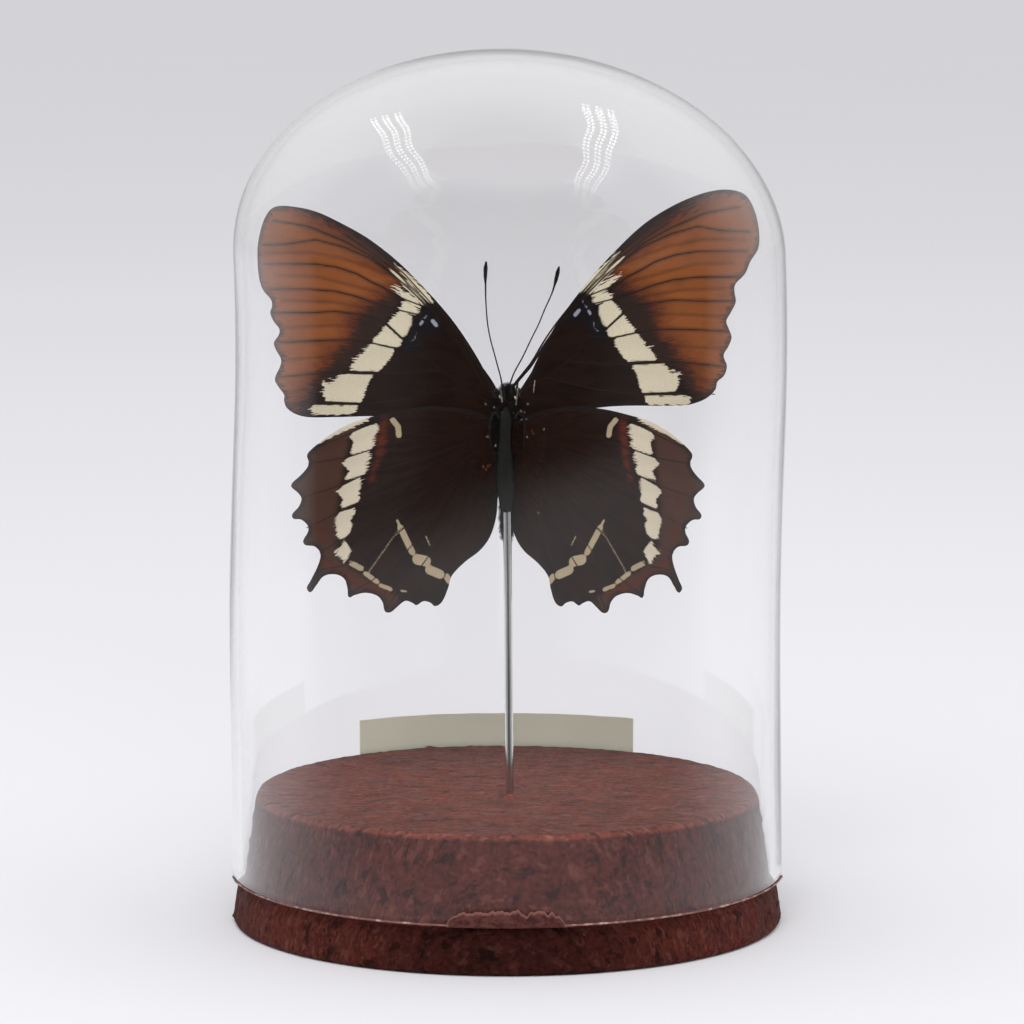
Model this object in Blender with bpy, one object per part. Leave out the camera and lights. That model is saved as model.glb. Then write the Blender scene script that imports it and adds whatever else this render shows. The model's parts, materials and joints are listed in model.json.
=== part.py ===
"""A butterfly on a steel rod, kept under a blown glass dome that is closed by a cork.

Metres, +Z up, front towards -Y. The origin is the middle of the cork's underside.
The drawings below are in millimetres and are turned into metres as they are built.
"""
import math

import bmesh
import bpy
from mathutils import Vector
from mathutils.geometry import interpolate_bezier

MM = 0.001
GAP = 0.3                     # clearance kept between pieces that touch
ROUND_STEPS = 48              # facets round the glass and the cork

# Glass dome: a blown tube with a half-ellipsoid top, open below, with a melted lip
RIM_HEIGHT = 6.7
SPRING_HEIGHT = 97.3          # where the tube turns into the top
CAP_RISE = 29.8
RIM_RADIUS = 40.3
TUBE_TAPER = 0.0045           # the bore narrows by this much for each unit of height
WALL = 1.4
SWAY = 0.9                    # how far the blown form drifts sideways at its top
SWAY_CREST = 84.0
SWAY_WAVE = 88.0

# Cork stopper: tapered, and squeezed in where the lip grips it
CORK_HEIGHT = 19.3
CORK_PROFILE = [(0.0, 0.0), (39.2, 0.0), (39.9, 0.25), (40.1, 0.8), (39.5, 4.9), (39.0, 6.0),
                (38.5, 7.0), (36.75, 18.7), (36.3, CORK_HEIGHT), (0.0, CORK_HEIGHT)]

# Rod: bright steel, upright but for a very small lean to the left
ROD_RADIUS = 0.6
ROD_FOOT = Vector((0.42, -7.8, 11.6))
ROD_TIP = Vector((-0.1, -7.8, 75.2))
ROD_HOLE_DEPTH = 8.0
ROUND_SMALL = 16

# Label: a strip of paper round the back of the glass
LABEL_HEIGHT = 16.0
LABEL_FOOT = 7.8
LABEL_LEFT = math.radians(-35.0)
LABEL_RIGHT = math.radians(29.2)
LABEL_THICKNESS = 0.25

# Butterfly, seen from its underside. Wings are drawn as (reach from the middle, height).
WING_PLANE = -4.0
WING_RAKE = math.radians(8.0)          # both pairs sweep back by this much
WING_LAYER = 0.35                      # forewings lie this far behind that plane, hindwings before
WING_THICKNESS = 0.3
WING_CAMBER = 0.7
WING_SPAN = 38.0
LEFT_FOREWING = [
    (2.05, 77.6), (3.0, 80.3), (5.0, 83.9), (8.0, 88.2), (12.0, 92.7), (16.0, 96.6),
    (20.0, 99.7), (24.0, 102.0), (28.0, 103.8), (32.0, 104.5), (34.2, 104.3), (35.4, 103.2),
    (36.4, 100.8), (36.9, 98.0), (36.7, 94.2), (36.0, 92.3), (34.7, 90.9), (34.5, 90.0),
    (34.8, 89.0), (34.3, 87.8), (33.4, 86.6), (33.5, 85.8), (34.2, 84.7), (34.0, 83.8),
    (33.2, 82.3), (33.3, 81.3), (34.1, 79.4), (33.7, 78.4), (32.8, 77.1), (32.8, 76.2),
    (32.4, 75.2), (31.0, 74.3), (29.0, 73.9), (25.0, 74.0), (19.0, 74.2), (10.0, 73.9),
    (2.05, 73.5)]
RIGHT_FOREWING = [
    (2.05, 76.9), (3.0, 79.5), (5.0, 83.8), (7.0, 87.3), (9.0, 90.2), (12.0, 94.0),
    (16.0, 98.3), (20.0, 102.0), (24.0, 104.5), (28.0, 106.2), (31.0, 106.85), (33.5, 106.7),
    (35.1, 105.9), (36.3, 103.9), (37.0, 101.0), (36.9, 98.3), (35.7, 96.4), (34.9, 94.6),
    (33.5, 93.1), (33.4, 92.0), (33.6, 90.6), (32.9, 89.1), (32.2, 87.8), (32.6, 86.6),
    (33.0, 85.4), (32.5, 84.1), (31.8, 82.8), (32.3, 81.3), (31.9, 79.9), (30.9, 79.0),
    (30.6, 77.9), (29.5, 76.8), (28.0, 76.1), (26.0, 75.7), (16.0, 75.7), (9.0, 75.0),
    (2.05, 74.0)]
HINDWING = [
    (2.05, 73.0), (4.0, 74.9), (10.0, 75.8), (15.0, 75.3), (19.0, 74.4), (22.0, 73.55),
    (25.0, 72.1), (27.5, 70.3), (28.8, 69.2), (29.35, 68.4), (29.1, 67.3), (29.5, 66.4),
    (30.5, 65.3), (31.5, 64.4), (31.7, 63.8), (30.7, 62.9), (30.2, 62.1), (30.6, 60.9),
    (31.6, 59.7), (31.4, 59.1), (30.3, 59.0), (29.3, 58.1), (29.3, 57.2), (30.0, 55.9),
    (29.7, 55.3), (28.3, 55.1), (27.5, 54.1), (27.8, 52.5), (29.0, 50.0), (29.5, 49.0),
    (29.0, 48.4), (28.2, 49.3), (27.0, 50.8), (25.3, 51.1), (24.0, 50.5), (23.5, 49.0),
    (23.3, 47.8), (22.5, 48.1), (20.9, 48.5), (19.2, 48.1), (18.4, 47.2), (18.0, 45.8),
    (17.2, 45.7), (16.2, 46.5), (15.0, 47.4), (13.9, 47.1), (13.4, 46.8), (12.3, 47.4),
    (11.3, 47.2), (10.6, 46.7), (9.6, 47.3), (8.7, 49.3), (8.1, 51.2), (6.2, 53.2),
    (4.0, 54.9), (2.5, 56.9), (1.6, 59.7), (1.35, 62.8), (1.5, 66.0), (2.05, 69.0)]

# How a hindwing was set: reach scale, reach gained per unit of height, and shift outwards.
# The right one was pinned with its tail closer to the body than the left.
WING_ROOT_HEIGHT = 76.0
AS_DRAWN = (1.0, 0.0, 0.0)
TUCKED_IN = (0.934, 0.08, 0.42)
WINGS = [
    ("left_forewing", LEFT_FOREWING, -1, WING_LAYER, AS_DRAWN),
    ("right_forewing", RIGHT_FOREWING, 1, WING_LAYER, AS_DRAWN),
    ("left_hindwing", HINDWING, -1, -WING_LAYER, AS_DRAWN),
    ("right_hindwing", HINDWING, 1, -WING_LAYER, TUCKED_IN)]
WING_NET = 4.0                         # spacing of the cuts that let a wing bend
THORAX_FOOT = 68.3
ROOT_REACH = 2.05                      # wings stop this far out beside the thorax
TAIL_REACH = 1.15                      # and this far out beside the abdomen

BODY_DEPTH = -4.6                      # how far forward the thorax sits


def colour(name, rgb, roughness, metallic=0.0, transmission=0.0):
    """A plain material for one finish."""
    mat = bpy.data.materials.new(name)
    mat.use_nodes = True
    shader = mat.node_tree.nodes["Principled BSDF"]
    shader.inputs["Base Color"].default_value = (*rgb, 1.0)
    shader.inputs["Roughness"].default_value = roughness
    shader.inputs["Metallic"].default_value = metallic
    shader.inputs["Transmission Weight"].default_value = transmission
    return mat


def add_object(name, bm, mat, smooth=True):
    """Turns a millimetre bmesh into a named object in metres."""
    bmesh.ops.scale(bm, vec=(MM, MM, MM), verts=bm.verts)
    bmesh.ops.recalc_face_normals(bm, faces=bm.faces)
    mesh = bpy.data.meshes.new(name)
    bm.to_mesh(mesh)
    bm.free()
    if smooth:
        mesh.shade_smooth()
        mesh.set_sharp_from_angle(angle=math.radians(35))
    mesh.materials.append(mat)
    obj = bpy.data.objects.new(name, mesh)
    bpy.context.scene.collection.objects.link(obj)
    return obj


def lathe(profile, steps):
    """Spins a (radius, height) profile that starts and ends on the axis round Z."""
    bm = bmesh.new()
    verts = [bm.verts.new((radius, 0.0, height)) for radius, height in profile]
    edges = [bm.edges.new(pair) for pair in zip(verts, verts[1:])]
    bmesh.ops.spin(bm, geom=verts + edges, cent=(0, 0, 0), axis=(0, 0, 1),
                   angle=2 * math.pi, steps=steps, use_merge=True)
    bmesh.ops.remove_doubles(bm, verts=bm.verts, dist=0.0005)
    return bm


def smooth_line(points, steps, closed=False):
    """Points along a soft curve through the given ones, with even handles at each."""
    points = [Vector(p) for p in points]
    count = len(points)
    runs = count if closed else count - 1

    def heading(i):
        if closed:
            before, after = points[i - 1], points[(i + 1) % count]
        else:
            before, after = points[max(i - 1, 0)], points[min(i + 1, count - 1)]
        return (after - before).normalized()

    line = []
    for i in range(runs):
        here, there = points[i], points[(i + 1) % count]
        reach = (there - here).length / 3
        arc = interpolate_bezier(here, here + heading(i) * reach,
                                 there - heading((i + 1) % count) * reach, there, steps + 1)
        line += arc[:-1]
    return line if closed else line + [points[-1]]


def sway(height):
    """Sideways drift of the blown glass, which grows towards the top."""
    swing = math.cos(2 * math.pi * (height - SWAY_CREST) / SWAY_WAVE)
    return SWAY * height / (SPRING_HEIGHT + CAP_RISE) * swing


def dome_profile():
    """Outer wall from the top down, round the lip, and the inner wall back up."""
    top_radius = RIM_RADIUS - TUBE_TAPER * (SPRING_HEIGHT - RIM_HEIGHT)
    cap_steps, tube_steps, lip_steps = 9, 7, 4
    outer = []
    inner = []
    for i in range(cap_steps + 1):
        turn = math.pi / 2 * (1 - i / cap_steps)
        outer.append((top_radius * math.cos(turn), SPRING_HEIGHT + CAP_RISE * math.sin(turn)))
        inner.append(((top_radius - WALL) * math.cos(turn),
                      SPRING_HEIGHT + (CAP_RISE - WALL) * math.sin(turn)))
    lip_height = RIM_HEIGHT + WALL / 2
    for i in range(1, tube_steps + 1):
        height = SPRING_HEIGHT + (lip_height - SPRING_HEIGHT) * i / tube_steps
        radius = RIM_RADIUS - TUBE_TAPER * (height - RIM_HEIGHT)
        outer.append((radius, height))
        inner.append((radius - WALL, height))
    lip_middle = RIM_RADIUS - WALL / 2
    lip = []
    for i in range(1, lip_steps):
        turn = -math.pi * i / lip_steps
        lip.append((lip_middle + WALL / 2 * math.cos(turn), lip_height + WALL / 2 * math.sin(turn)))
    return outer + lip + inner[::-1]


def make_glass_dome():
    bm = lathe(dome_profile(), ROUND_STEPS)
    for vert in bm.verts:
        vert.co.x += sway(vert.co.z)
    glass = colour("clear_blown_glass", (0.96, 0.97, 0.97), 0.02, transmission=1.0)
    return add_object("glass_dome", bm, glass)


def make_cork_stopper():
    """The stopper, with a blind hole in its top that takes the rod."""
    cork = colour("stained_cork", (0.10, 0.035, 0.03), 0.85)
    stopper = add_object("cork_stopper", lathe(CORK_PROFILE, ROUND_STEPS), cork)
    bm = bmesh.new()
    bmesh.ops.create_cone(bm, segments=ROUND_SMALL, radius1=ROD_RADIUS + GAP,
                          radius2=ROD_RADIUS + GAP, depth=2 * ROD_HOLE_DEPTH, cap_ends=True)
    bmesh.ops.translate(bm, vec=(ROD_FOOT.x, ROD_FOOT.y, CORK_HEIGHT), verts=bm.verts)
    drill = add_object("rod_hole_cutter", bm, cork, smooth=False)
    drill.hide_render = True
    drill.display_type = "WIRE"
    cut = stopper.modifiers.new("rod hole", "BOOLEAN")
    cut.operation = "DIFFERENCE"
    cut.solver = "EXACT"
    cut.object = drill
    return stopper


def stand_along_rod(bm):
    """Leans a shape modelled upright on Z, foot at the origin, onto the rod's line."""
    lean = Vector((0, 0, 1)).rotation_difference(ROD_TIP - ROD_FOOT)
    bmesh.ops.rotate(bm, cent=(0, 0, 0), matrix=lean.to_matrix(), verts=bm.verts)
    bmesh.ops.translate(bm, vec=ROD_FOOT, verts=bm.verts)


def make_support_rod():
    length = (ROD_TIP - ROD_FOOT).length
    bevel = 0.15
    profile = [(0, 0), (ROD_RADIUS, 0), (ROD_RADIUS, length - bevel),
               (ROD_RADIUS - bevel, length), (0, length)]
    bm = lathe(profile, ROUND_SMALL)
    stand_along_rod(bm)
    return add_object("support_rod", bm, colour("polished_steel", (0.75, 0.75, 0.74), 0.12, 1.0))


def make_glue_sleeve():
    """Dark glue that coats the top of the rod and holds the body to it."""
    foot, tip = 49.3, 64.4                          # measured up the rod
    bore = ROD_RADIUS + GAP
    profile = [(0, tip), (0.8, tip - 0.15), (1.13, tip - 0.7), (1.15, tip - 4.0),
               (1.3, tip - 8.0), (1.3, foot + 2.5), (1.15, foot + 0.5), (bore + 0.05, foot),
               (bore, foot + 0.1), (bore, tip - 0.45), (0, tip - 0.4)]
    bm = lathe(profile, ROUND_SMALL)
    stand_along_rod(bm)
    return add_object("glue_sleeve", bm, colour("dark_glue", (0.012, 0.012, 0.01), 0.35))


def make_paper_label():
    """A strip that is cut flat and wrapped round the back of the tube."""
    radius = RIM_RADIUS + GAP
    arc = radius * (LABEL_RIGHT - LABEL_LEFT)
    bm = bmesh.new()
    bmesh.ops.create_grid(bm, x_segments=20, y_segments=1, size=0.5)
    for vert in bm.verts:
        turn = LABEL_LEFT + (vert.co.x + 0.5) * arc / radius
        height = LABEL_FOOT + (vert.co.y + 0.5) * LABEL_HEIGHT
        vert.co = (radius * math.sin(turn), radius * math.cos(turn), height)
    bmesh.ops.recalc_face_normals(bm, faces=bm.faces)
    label = add_object("paper_label", bm, colour("label_paper", (0.47, 0.46, 0.36), 0.8))
    sheet = label.modifiers.new("paper thickness", "SOLIDIFY")
    sheet.thickness = LABEL_THICKNESS * MM
    sheet.offset = 1.0 if label.data.polygons[0].normal.y > 0 else -1.0
    return label


def make_wing(name, outline, side, layer, setting, mat):
    """Cuts the flat outline into a net, bends it and gives it a thickness."""
    reach_scale, lean, shift = setting
    bm = bmesh.new()
    bm.faces.new([bm.verts.new((p.x, 0.0, p.y)) for p in smooth_line(outline, 2, closed=True)])
    for across, first, last in ((Vector((1, 0, 0)), 0.0, WING_SPAN),
                                (Vector((0, 0, 1)), 44.0, 108.0)):
        for i in range(1, int((last - first) / WING_NET)):
            bmesh.ops.bisect_plane(bm, geom=bm.verts[:] + bm.edges[:] + bm.faces[:], dist=1e-5,
                                   plane_co=across * (first + i * WING_NET), plane_no=across)
    for vert in bm.verts:
        height = vert.co.z
        out = reach_scale * vert.co.x + lean * (height - WING_ROOT_HEIGHT) + shift
        out = max(out, ROOT_REACH if height > THORAX_FOOT else TAIL_REACH)
        bow = WING_CAMBER * math.sin(math.pi * out / WING_SPAN)
        vert.co = (side * (out * math.cos(WING_RAKE) - bow * math.sin(WING_RAKE)),
                   WING_PLANE + layer + out * math.sin(WING_RAKE) - bow * math.cos(WING_RAKE),
                   height)
    wing = add_object(name, bm, mat, smooth=False)
    skin = wing.modifiers.new("wing thickness", "SOLIDIFY")
    skin.thickness = WING_THICKNESS * MM
    skin.offset = 0.0
    return wing


def make_wings():
    mat = colour("wing_scales", (0.035, 0.014, 0.008), 0.6)
    return [make_wing(*drawing, mat) for drawing in WINGS]


def make_rounded_body(name, centre, half_size, mat, segments=16, rings=10):
    bm = bmesh.new()
    bmesh.ops.create_uvsphere(bm, u_segments=segments, v_segments=rings, radius=1.0)
    bmesh.ops.scale(bm, vec=half_size, verts=bm.verts)
    bmesh.ops.translate(bm, vec=centre, verts=bm.verts)
    return add_object(name, bm, mat)


def make_abdomen(mat):
    """A blunt spindle with shallow waists between its segments."""
    top, tail, girth, depth = 68.3, 56.3, 1.02, -5.15
    rings = 13
    profile = []
    for i in range(rings + 1):
        along = 2 * i / rings - 1
        swell = (1 - along ** 6) ** 0.5
        waist = 1.0 - 0.05 * (i % 2)
        profile.append((girth * swell * waist, top + (tail - top) * i / rings))
    bm = lathe(profile, 12)
    bmesh.ops.translate(bm, vec=(0.0, depth, 0), verts=bm.verts)
    return add_object("abdomen", bm, mat)


def make_tapered_limb(name, route, mat, steps=4):
    """A thin tube through (x, y, z, radius) points, with closed ends."""
    line = smooth_line([point[:3] for point in route], steps)
    radii = [point[3] for point in route]
    curve = bpy.data.curves.new(name, "CURVE")
    curve.dimensions = "3D"
    curve.bevel_depth = MM
    curve.bevel_resolution = 2
    curve.use_fill_caps = True
    spline = curve.splines.new("POLY")
    spline.points.add(len(line) - 1)
    for i, place in enumerate(line):
        low = min(i // steps, len(radii) - 2)
        mix = i / steps - low
        spline.points[i].co = (*(place * MM), 1.0)
        spline.points[i].radius = radii[low] * (1 - mix) + radii[low + 1] * mix
    curve.materials.append(mat)
    obj = bpy.data.objects.new(name, curve)
    bpy.context.scene.collection.objects.link(obj)
    return obj


def make_body():
    """Head, thorax and abdomen, with the parts that the head and thorax carry."""
    fur = colour("body_fur", (0.02, 0.014, 0.01), 0.9)
    horn = colour("dark_horn", (0.01, 0.008, 0.007), 0.4)
    make_rounded_body("thorax", (0.0, BODY_DEPTH, 72.6), (1.7, 1.6, 4.0), fur)
    make_rounded_body("head", (0.0, -5.0, 77.95), (0.8, 1.0, 1.0), fur, segments=12, rings=8)
    make_abdomen(fur)
    for side, name in ((-1, "left"), (1, "right")):
        make_rounded_body(name + "_eye", (side * 1.65, -5.0, 77.9), (0.5, 0.75, 0.8), horn,
                          segments=10, rings=6)
        make_tapered_limb(name + "_palp", [
            (side * 0.45, -6.45, 77.2, 0.22), (side * 0.5, -6.75, 78.0, 0.25),
            (side * 0.55, -6.5, 79.0, 0.1)], horn, steps=3)
        make_tapered_limb(name + "_leg", [
            (side * 1.25, -6.6, 74.6, 0.2), (side * 2.1, -6.5, 75.4, 0.25),
            (side * 2.9, -6.2, 73.6, 0.18), (side * 2.7, -6.1, 70.4, 0.1)], horn, steps=3)
    make_tapered_limb("left_antenna", [
        (-0.7, -4.9, 79.25, 0.14), (-1.3, -4.7, 81.5, 0.13), (-2.4, -4.5, 85.0, 0.13),
        (-2.95, -4.4, 89.5, 0.13), (-3.1, -4.3, 93.6, 0.14), (-3.08, -4.3, 95.2, 0.34),
        (-3.0, -4.3, 96.6, 0.2)], horn)
    make_tapered_limb("right_antenna", [
        (0.3, -4.9, 79.3, 0.14), (2.1, -4.7, 83.0, 0.13), (4.0, -4.5, 86.7, 0.13),
        (5.6, -4.4, 90.2, 0.13), (6.7, -4.3, 93.2, 0.14), (7.1, -4.3, 94.6, 0.34),
        (7.4, -4.3, 95.8, 0.2)], horn)


def build():
    for obj in list(bpy.data.objects):
        bpy.data.objects.remove(obj, do_unlink=True)
    make_glass_dome()
    make_cork_stopper()
    make_support_rod()
    make_glue_sleeve()
    make_paper_label()
    make_wings()
    make_body()


build()
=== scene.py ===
# %% [markdown]
# # A butterfly under a blown glass dome
# A set butterfly is glued to a bright steel rod, the rod stands in a stained cork, and a glass
# dome closes over both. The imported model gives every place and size. This lesson puts the real
# finish on it: scales, veins and markings on the wings, hair on the body, pressed granules in
# the cork, and clear blown glass round it all. Drawings are in millimetres, the scene in metres.

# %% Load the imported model
import json
import math
import random

import bmesh
import bpy
import numpy as np
from mathutils import Matrix, Vector, noise
from mathutils.geometry import interpolate_bezier

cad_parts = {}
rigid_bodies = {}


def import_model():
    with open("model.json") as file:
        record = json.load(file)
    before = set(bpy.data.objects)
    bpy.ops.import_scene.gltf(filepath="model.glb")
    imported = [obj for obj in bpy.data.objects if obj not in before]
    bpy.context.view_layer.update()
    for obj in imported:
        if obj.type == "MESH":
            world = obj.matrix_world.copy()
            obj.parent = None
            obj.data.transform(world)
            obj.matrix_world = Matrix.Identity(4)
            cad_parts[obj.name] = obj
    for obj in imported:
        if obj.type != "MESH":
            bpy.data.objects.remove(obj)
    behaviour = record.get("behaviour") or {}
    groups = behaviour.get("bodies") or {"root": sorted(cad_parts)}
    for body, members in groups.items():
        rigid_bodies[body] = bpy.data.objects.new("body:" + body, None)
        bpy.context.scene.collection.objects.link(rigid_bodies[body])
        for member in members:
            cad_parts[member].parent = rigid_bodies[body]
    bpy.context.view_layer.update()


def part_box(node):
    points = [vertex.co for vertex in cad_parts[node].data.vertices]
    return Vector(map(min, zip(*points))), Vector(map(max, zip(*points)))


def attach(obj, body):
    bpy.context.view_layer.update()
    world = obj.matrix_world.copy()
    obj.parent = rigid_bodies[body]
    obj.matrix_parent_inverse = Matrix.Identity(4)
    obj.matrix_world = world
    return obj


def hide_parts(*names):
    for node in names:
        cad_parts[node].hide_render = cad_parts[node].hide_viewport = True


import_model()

MM = 0.001

# %% [markdown]
# ## Two helpers for shapes
# A drawn outline has few points, so `smooth_line` runs a soft curve through them. `sweep` makes
# anything long and thin, such as a leg, a vein or an antenna: it starts from a circle and
# extrudes it from station to station. A curve object with a bevel could do that too, but the
# extruded ring can also be squashed and keeps its rings where the route has its points.

# %% Soft curves and swept rods
def smooth_line(points, steps, closed=False):
    """Points along a soft curve through the given ones, with even handles at each."""
    points = [Vector(p) for p in points]
    count = len(points)

    def heading(i):
        if closed:
            before, after = points[i - 1], points[(i + 1) % count]
        else:
            before, after = points[max(i - 1, 0)], points[min(i + 1, count - 1)]
        return (after - before).normalized()

    line = []
    for i in range(count if closed else count - 1):
        here, there = points[i], points[(i + 1) % count]
        reach = (there - here).length / 3
        arc = interpolate_bezier(here, here + heading(i) * reach,
                                 there - heading((i + 1) % count) * reach, there, steps + 1)
        line += arc[:-1]
    return line if closed else line + [points[-1]]


def sweep(bm, route, radii, sides=8, flat=1.0):
    """Extrudes a ring along a route of points. flat squashes it along its own second axis."""
    ring = bmesh.ops.create_circle(bm, segments=sides, radius=1.0, cap_ends=False)["verts"]
    first = ring
    last = len(route) - 1
    turn = None
    for i, place in enumerate(route):
        along = (route[min(i + 1, last)] - route[max(i - 1, 0)]).normalized()
        if turn is None:
            turn = Vector((0, 0, 1)).rotation_difference(along)
        else:
            turn = came.rotation_difference(along) @ turn
            edges = [e for e in set(sum((list(v.link_edges) for v in ring), []))
                     if e.verts[0] in ring and e.verts[1] in ring]
            grown = bmesh.ops.extrude_edge_only(bm, edges=edges)["geom"]
            ring = [g for g in grown if isinstance(g, bmesh.types.BMVert)]
            bmesh.ops.transform(bm, matrix=undo, verts=ring)
        came = along
        size = radii[i]
        put = (Matrix.Translation(place) @ turn.to_matrix().to_4x4()
               @ Matrix.Diagonal((size, size * flat, size, 1.0)))
        bmesh.ops.transform(bm, matrix=put, verts=ring)
        undo = put.inverted()
    for end in (first, ring):
        bmesh.ops.contextual_create(bm, geom=end)


def spread(values, count):
    """Stretches a short list of numbers evenly to a longer one."""
    return np.interp(np.linspace(0, 1, count), np.linspace(0, 1, len(values)), values)


# %% [markdown]
# ## One way to finish a piece
# A mesh in millimetres goes through `hand_in`: its faces are turned outwards and it is scaled to
# metres. Wings and hair are made in metres and go straight to `tie_in`, which gives a mesh its
# material, hides the imported nodes it stands for and ties it to the body that carries it.

# %% From a mesh to a finished piece
def to_mesh(name, bm):
    mesh = bpy.data.meshes.new(name)
    bm.to_mesh(mesh)
    bm.free()
    return mesh


def smooth_faces(mesh, sharp):
    """Smooth shading, with edges sharper than so many degrees left hard."""
    mesh.shade_smooth()
    mesh.set_sharp_from_angle(angle=math.radians(sharp))


def set_down(name, mesh, material):
    """Puts a mesh into the scene as an object."""
    mesh.materials.append(material)
    piece = bpy.data.objects.new(name, mesh)
    bpy.context.scene.collection.objects.link(piece)
    return piece


def tie_in(name, mesh, material, nodes):
    """The object, tied to its body, with the nodes it replaces hidden."""
    piece = set_down(name, mesh, material)
    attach(piece, "root")
    if nodes:
        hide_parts(*nodes)
    print(f"{name}: {len(mesh.polygons)} faces")
    return piece


def hand_in(name, bm, material, nodes, sharp=40):
    """A finished piece from a mesh in millimetres."""
    bmesh.ops.recalc_face_normals(bm, faces=bm.faces)
    bmesh.ops.scale(bm, vec=(MM, MM, MM), verts=bm.verts)
    mesh = to_mesh(name, bm)
    smooth_faces(mesh, sharp)
    return tie_in(name, mesh, material, nodes)


# %% [markdown]
# ## Wiring shader nodes in code
# In the editor a material is drawn by dragging wires. In code, `wire` adds one node: an input
# given as a socket is linked, and any other value is typed in. The small helpers below are the
# four nodes that every finish here uses again and again.

# %% Shader helpers
def wire(tree, kind, inputs=None, **settings):
    """Adds a shader node, links the inputs that are sockets and types in the others."""
    node = tree.nodes.new("ShaderNode" + kind)
    for key, value in settings.items():
        setattr(node, key, value)
    for key, value in (inputs or {}).items():
        if isinstance(value, bpy.types.NodeSocket):
            tree.links.new(value, node.inputs[key])
        else:
            node.inputs[key].default_value = value
    return node


def sum_up(tree, operation, *values):
    """One Math node."""
    return wire(tree, "Math", dict(enumerate(values)), operation=operation).outputs[0]


def times(tree, first, *others):
    """The product of two or more values."""
    for other in others:
        first = sum_up(tree, "MULTIPLY", first, other)
    return first


def blend_range(tree, value, low, high, start=0.0, end=1.0):
    """A soft step: start below low, end above high."""
    node = wire(tree, "MapRange", {"Value": value, "From Min": low, "From Max": high,
                                   "To Min": start, "To Max": end}, interpolation_type="SMOOTHSTEP")
    return node.outputs["Result"]


def tint(tree, amount, under, over, blend="MIX"):
    """Lays one colour over another by amount."""
    under, over = [c if isinstance(c, bpy.types.NodeSocket) else (*c, 1.0) for c in (under, over)]
    return wire(tree, "Mix", {0: amount, 6: under, 7: over}, data_type="RGBA",
                blend_type=blend).outputs[2]


def cloud(tree, vector, scale, detail=3.0, rough=0.5):
    """Noise from 0 to 1 at so many blotches to a unit."""
    return wire(tree, "TexNoise", {"Vector": vector, "Scale": scale, "Detail": detail,
                                   "Roughness": rough}).outputs["Fac"]


def streaky(tree, vector, scale, detail=3.0, rough=0.5):
    """Noise that is stretched by a different amount along each axis."""
    stretched = wire(tree, "Mapping", {"Vector": vector, "Scale": scale}).outputs[0]
    return cloud(tree, stretched, 1.0, detail, rough)


def relief(tree, height, depth, strength=1.0):
    """Turns a 0-1 height map into a normal, for a relief of the given depth in metres."""
    return wire(tree, "Bump", {"Height": height, "Distance": depth,
                               "Strength": strength}).outputs["Normal"]


def new_finish(name, **plain):
    """A material with its Principled shader's plain values typed in."""
    material = bpy.data.materials.new(name)
    material.use_nodes = True
    tree = material.node_tree
    shader = tree.nodes["Principled BSDF"]
    for key, value in plain.items():
        shader.inputs[key.replace("_", " ")].default_value = value
    return material, tree, shader


def plug(tree, shader, **sources):
    """Links sockets to the shader's inputs by name."""
    for key, source in sources.items():
        tree.links.new(source, shader.inputs[key.replace("_", " ")])


def new_group(name, inputs, outputs):
    """An empty shader node group with named float, vector and colour sockets."""
    tree = bpy.data.node_groups.new(name, "ShaderNodeTree")
    kinds = {"value": "NodeSocketFloat", "vector": "NodeSocketVector", "colour": "NodeSocketColor"}
    for side, sockets in (("INPUT", inputs), ("OUTPUT", outputs)):
        for title, kind in sockets.items():
            tree.interface.new_socket(title, in_out=side, socket_type=kinds[kind])
    return tree, (tree.nodes.new("NodeGroupInput").outputs, tree.nodes.new("NodeGroupOutput").inputs)


def use_group(tree, group, inputs):
    """Places a group in a material with its own values."""
    return wire(tree, "Group", inputs, node_tree=group).outputs


def show(tree, surface):
    """Makes a shader the material's surface."""
    tree.links.new(surface, tree.nodes["Material Output"].inputs["Surface"])


def object_place(tree):
    return wire(tree, "TexCoord").outputs["Object"]


def axis(tree, vector, letter):
    """One of the three coordinates of a place."""
    return wire(tree, "SeparateXYZ", {"Vector": vector}).outputs[letter]


def layer_value(tree, name):
    """A number that the mesh stores at each vertex."""
    return wire(tree, "Attribute", attribute_name=name).outputs["Fac"]

# %% [markdown]
# ## The studio
# Clear glass shows only what it mirrors, so the room matters as much as the lamps. An even pale
# sky and a pale floor give the soft daylight, and the camera looks slightly down from the front.

# %% Camera
def place_camera(height, distance, off_middle, tilt, lens):
    camera = bpy.data.objects.new("camera", bpy.data.cameras.new("camera"))
    camera.location = (off_middle, -distance, height)
    camera.rotation_euler = (math.radians(90 - tilt), 0, 0)
    camera.data.lens = lens
    camera.data.clip_end = 100
    bpy.context.scene.collection.objects.link(camera)
    bpy.context.scene.camera = camera


place_camera(height=0.1383, distance=0.650, off_middle=0.0007, tilt=6.87, lens=158.2)
scene = bpy.context.scene
scene.view_settings.view_transform = "Standard"
scene.cycles.max_bounces = scene.cycles.transmission_bounces = 9
scene.cycles.diffuse_bounces = 2
scene.cycles.caustics_reflective = False


# %% Sky
def stage_piece(name, bm, material):
    piece = set_down(name, to_mesh(name, bm), material)
    return piece


def light_the_sky(horizon, zenith):
    """An even pale sky that is a little brighter overhead."""
    world = bpy.data.worlds.new("soft_sky")
    bpy.context.scene.world = world
    world.use_nodes = True
    world.cycles.sampling_method = "NONE"
    tree = world.node_tree
    up = axis(tree, wire(tree, "TexCoord").outputs["Generated"], "Z")
    sky = tree.nodes["Background"]
    sky.inputs["Color"].default_value = (0.986, 0.98, 1.0, 1)
    tree.links.new(blend_range(tree, up, 0.0, 1.0, horizon, zenith), sky.inputs["Strength"])


light_the_sky(horizon=0.69, zenith=1.0)

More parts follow.
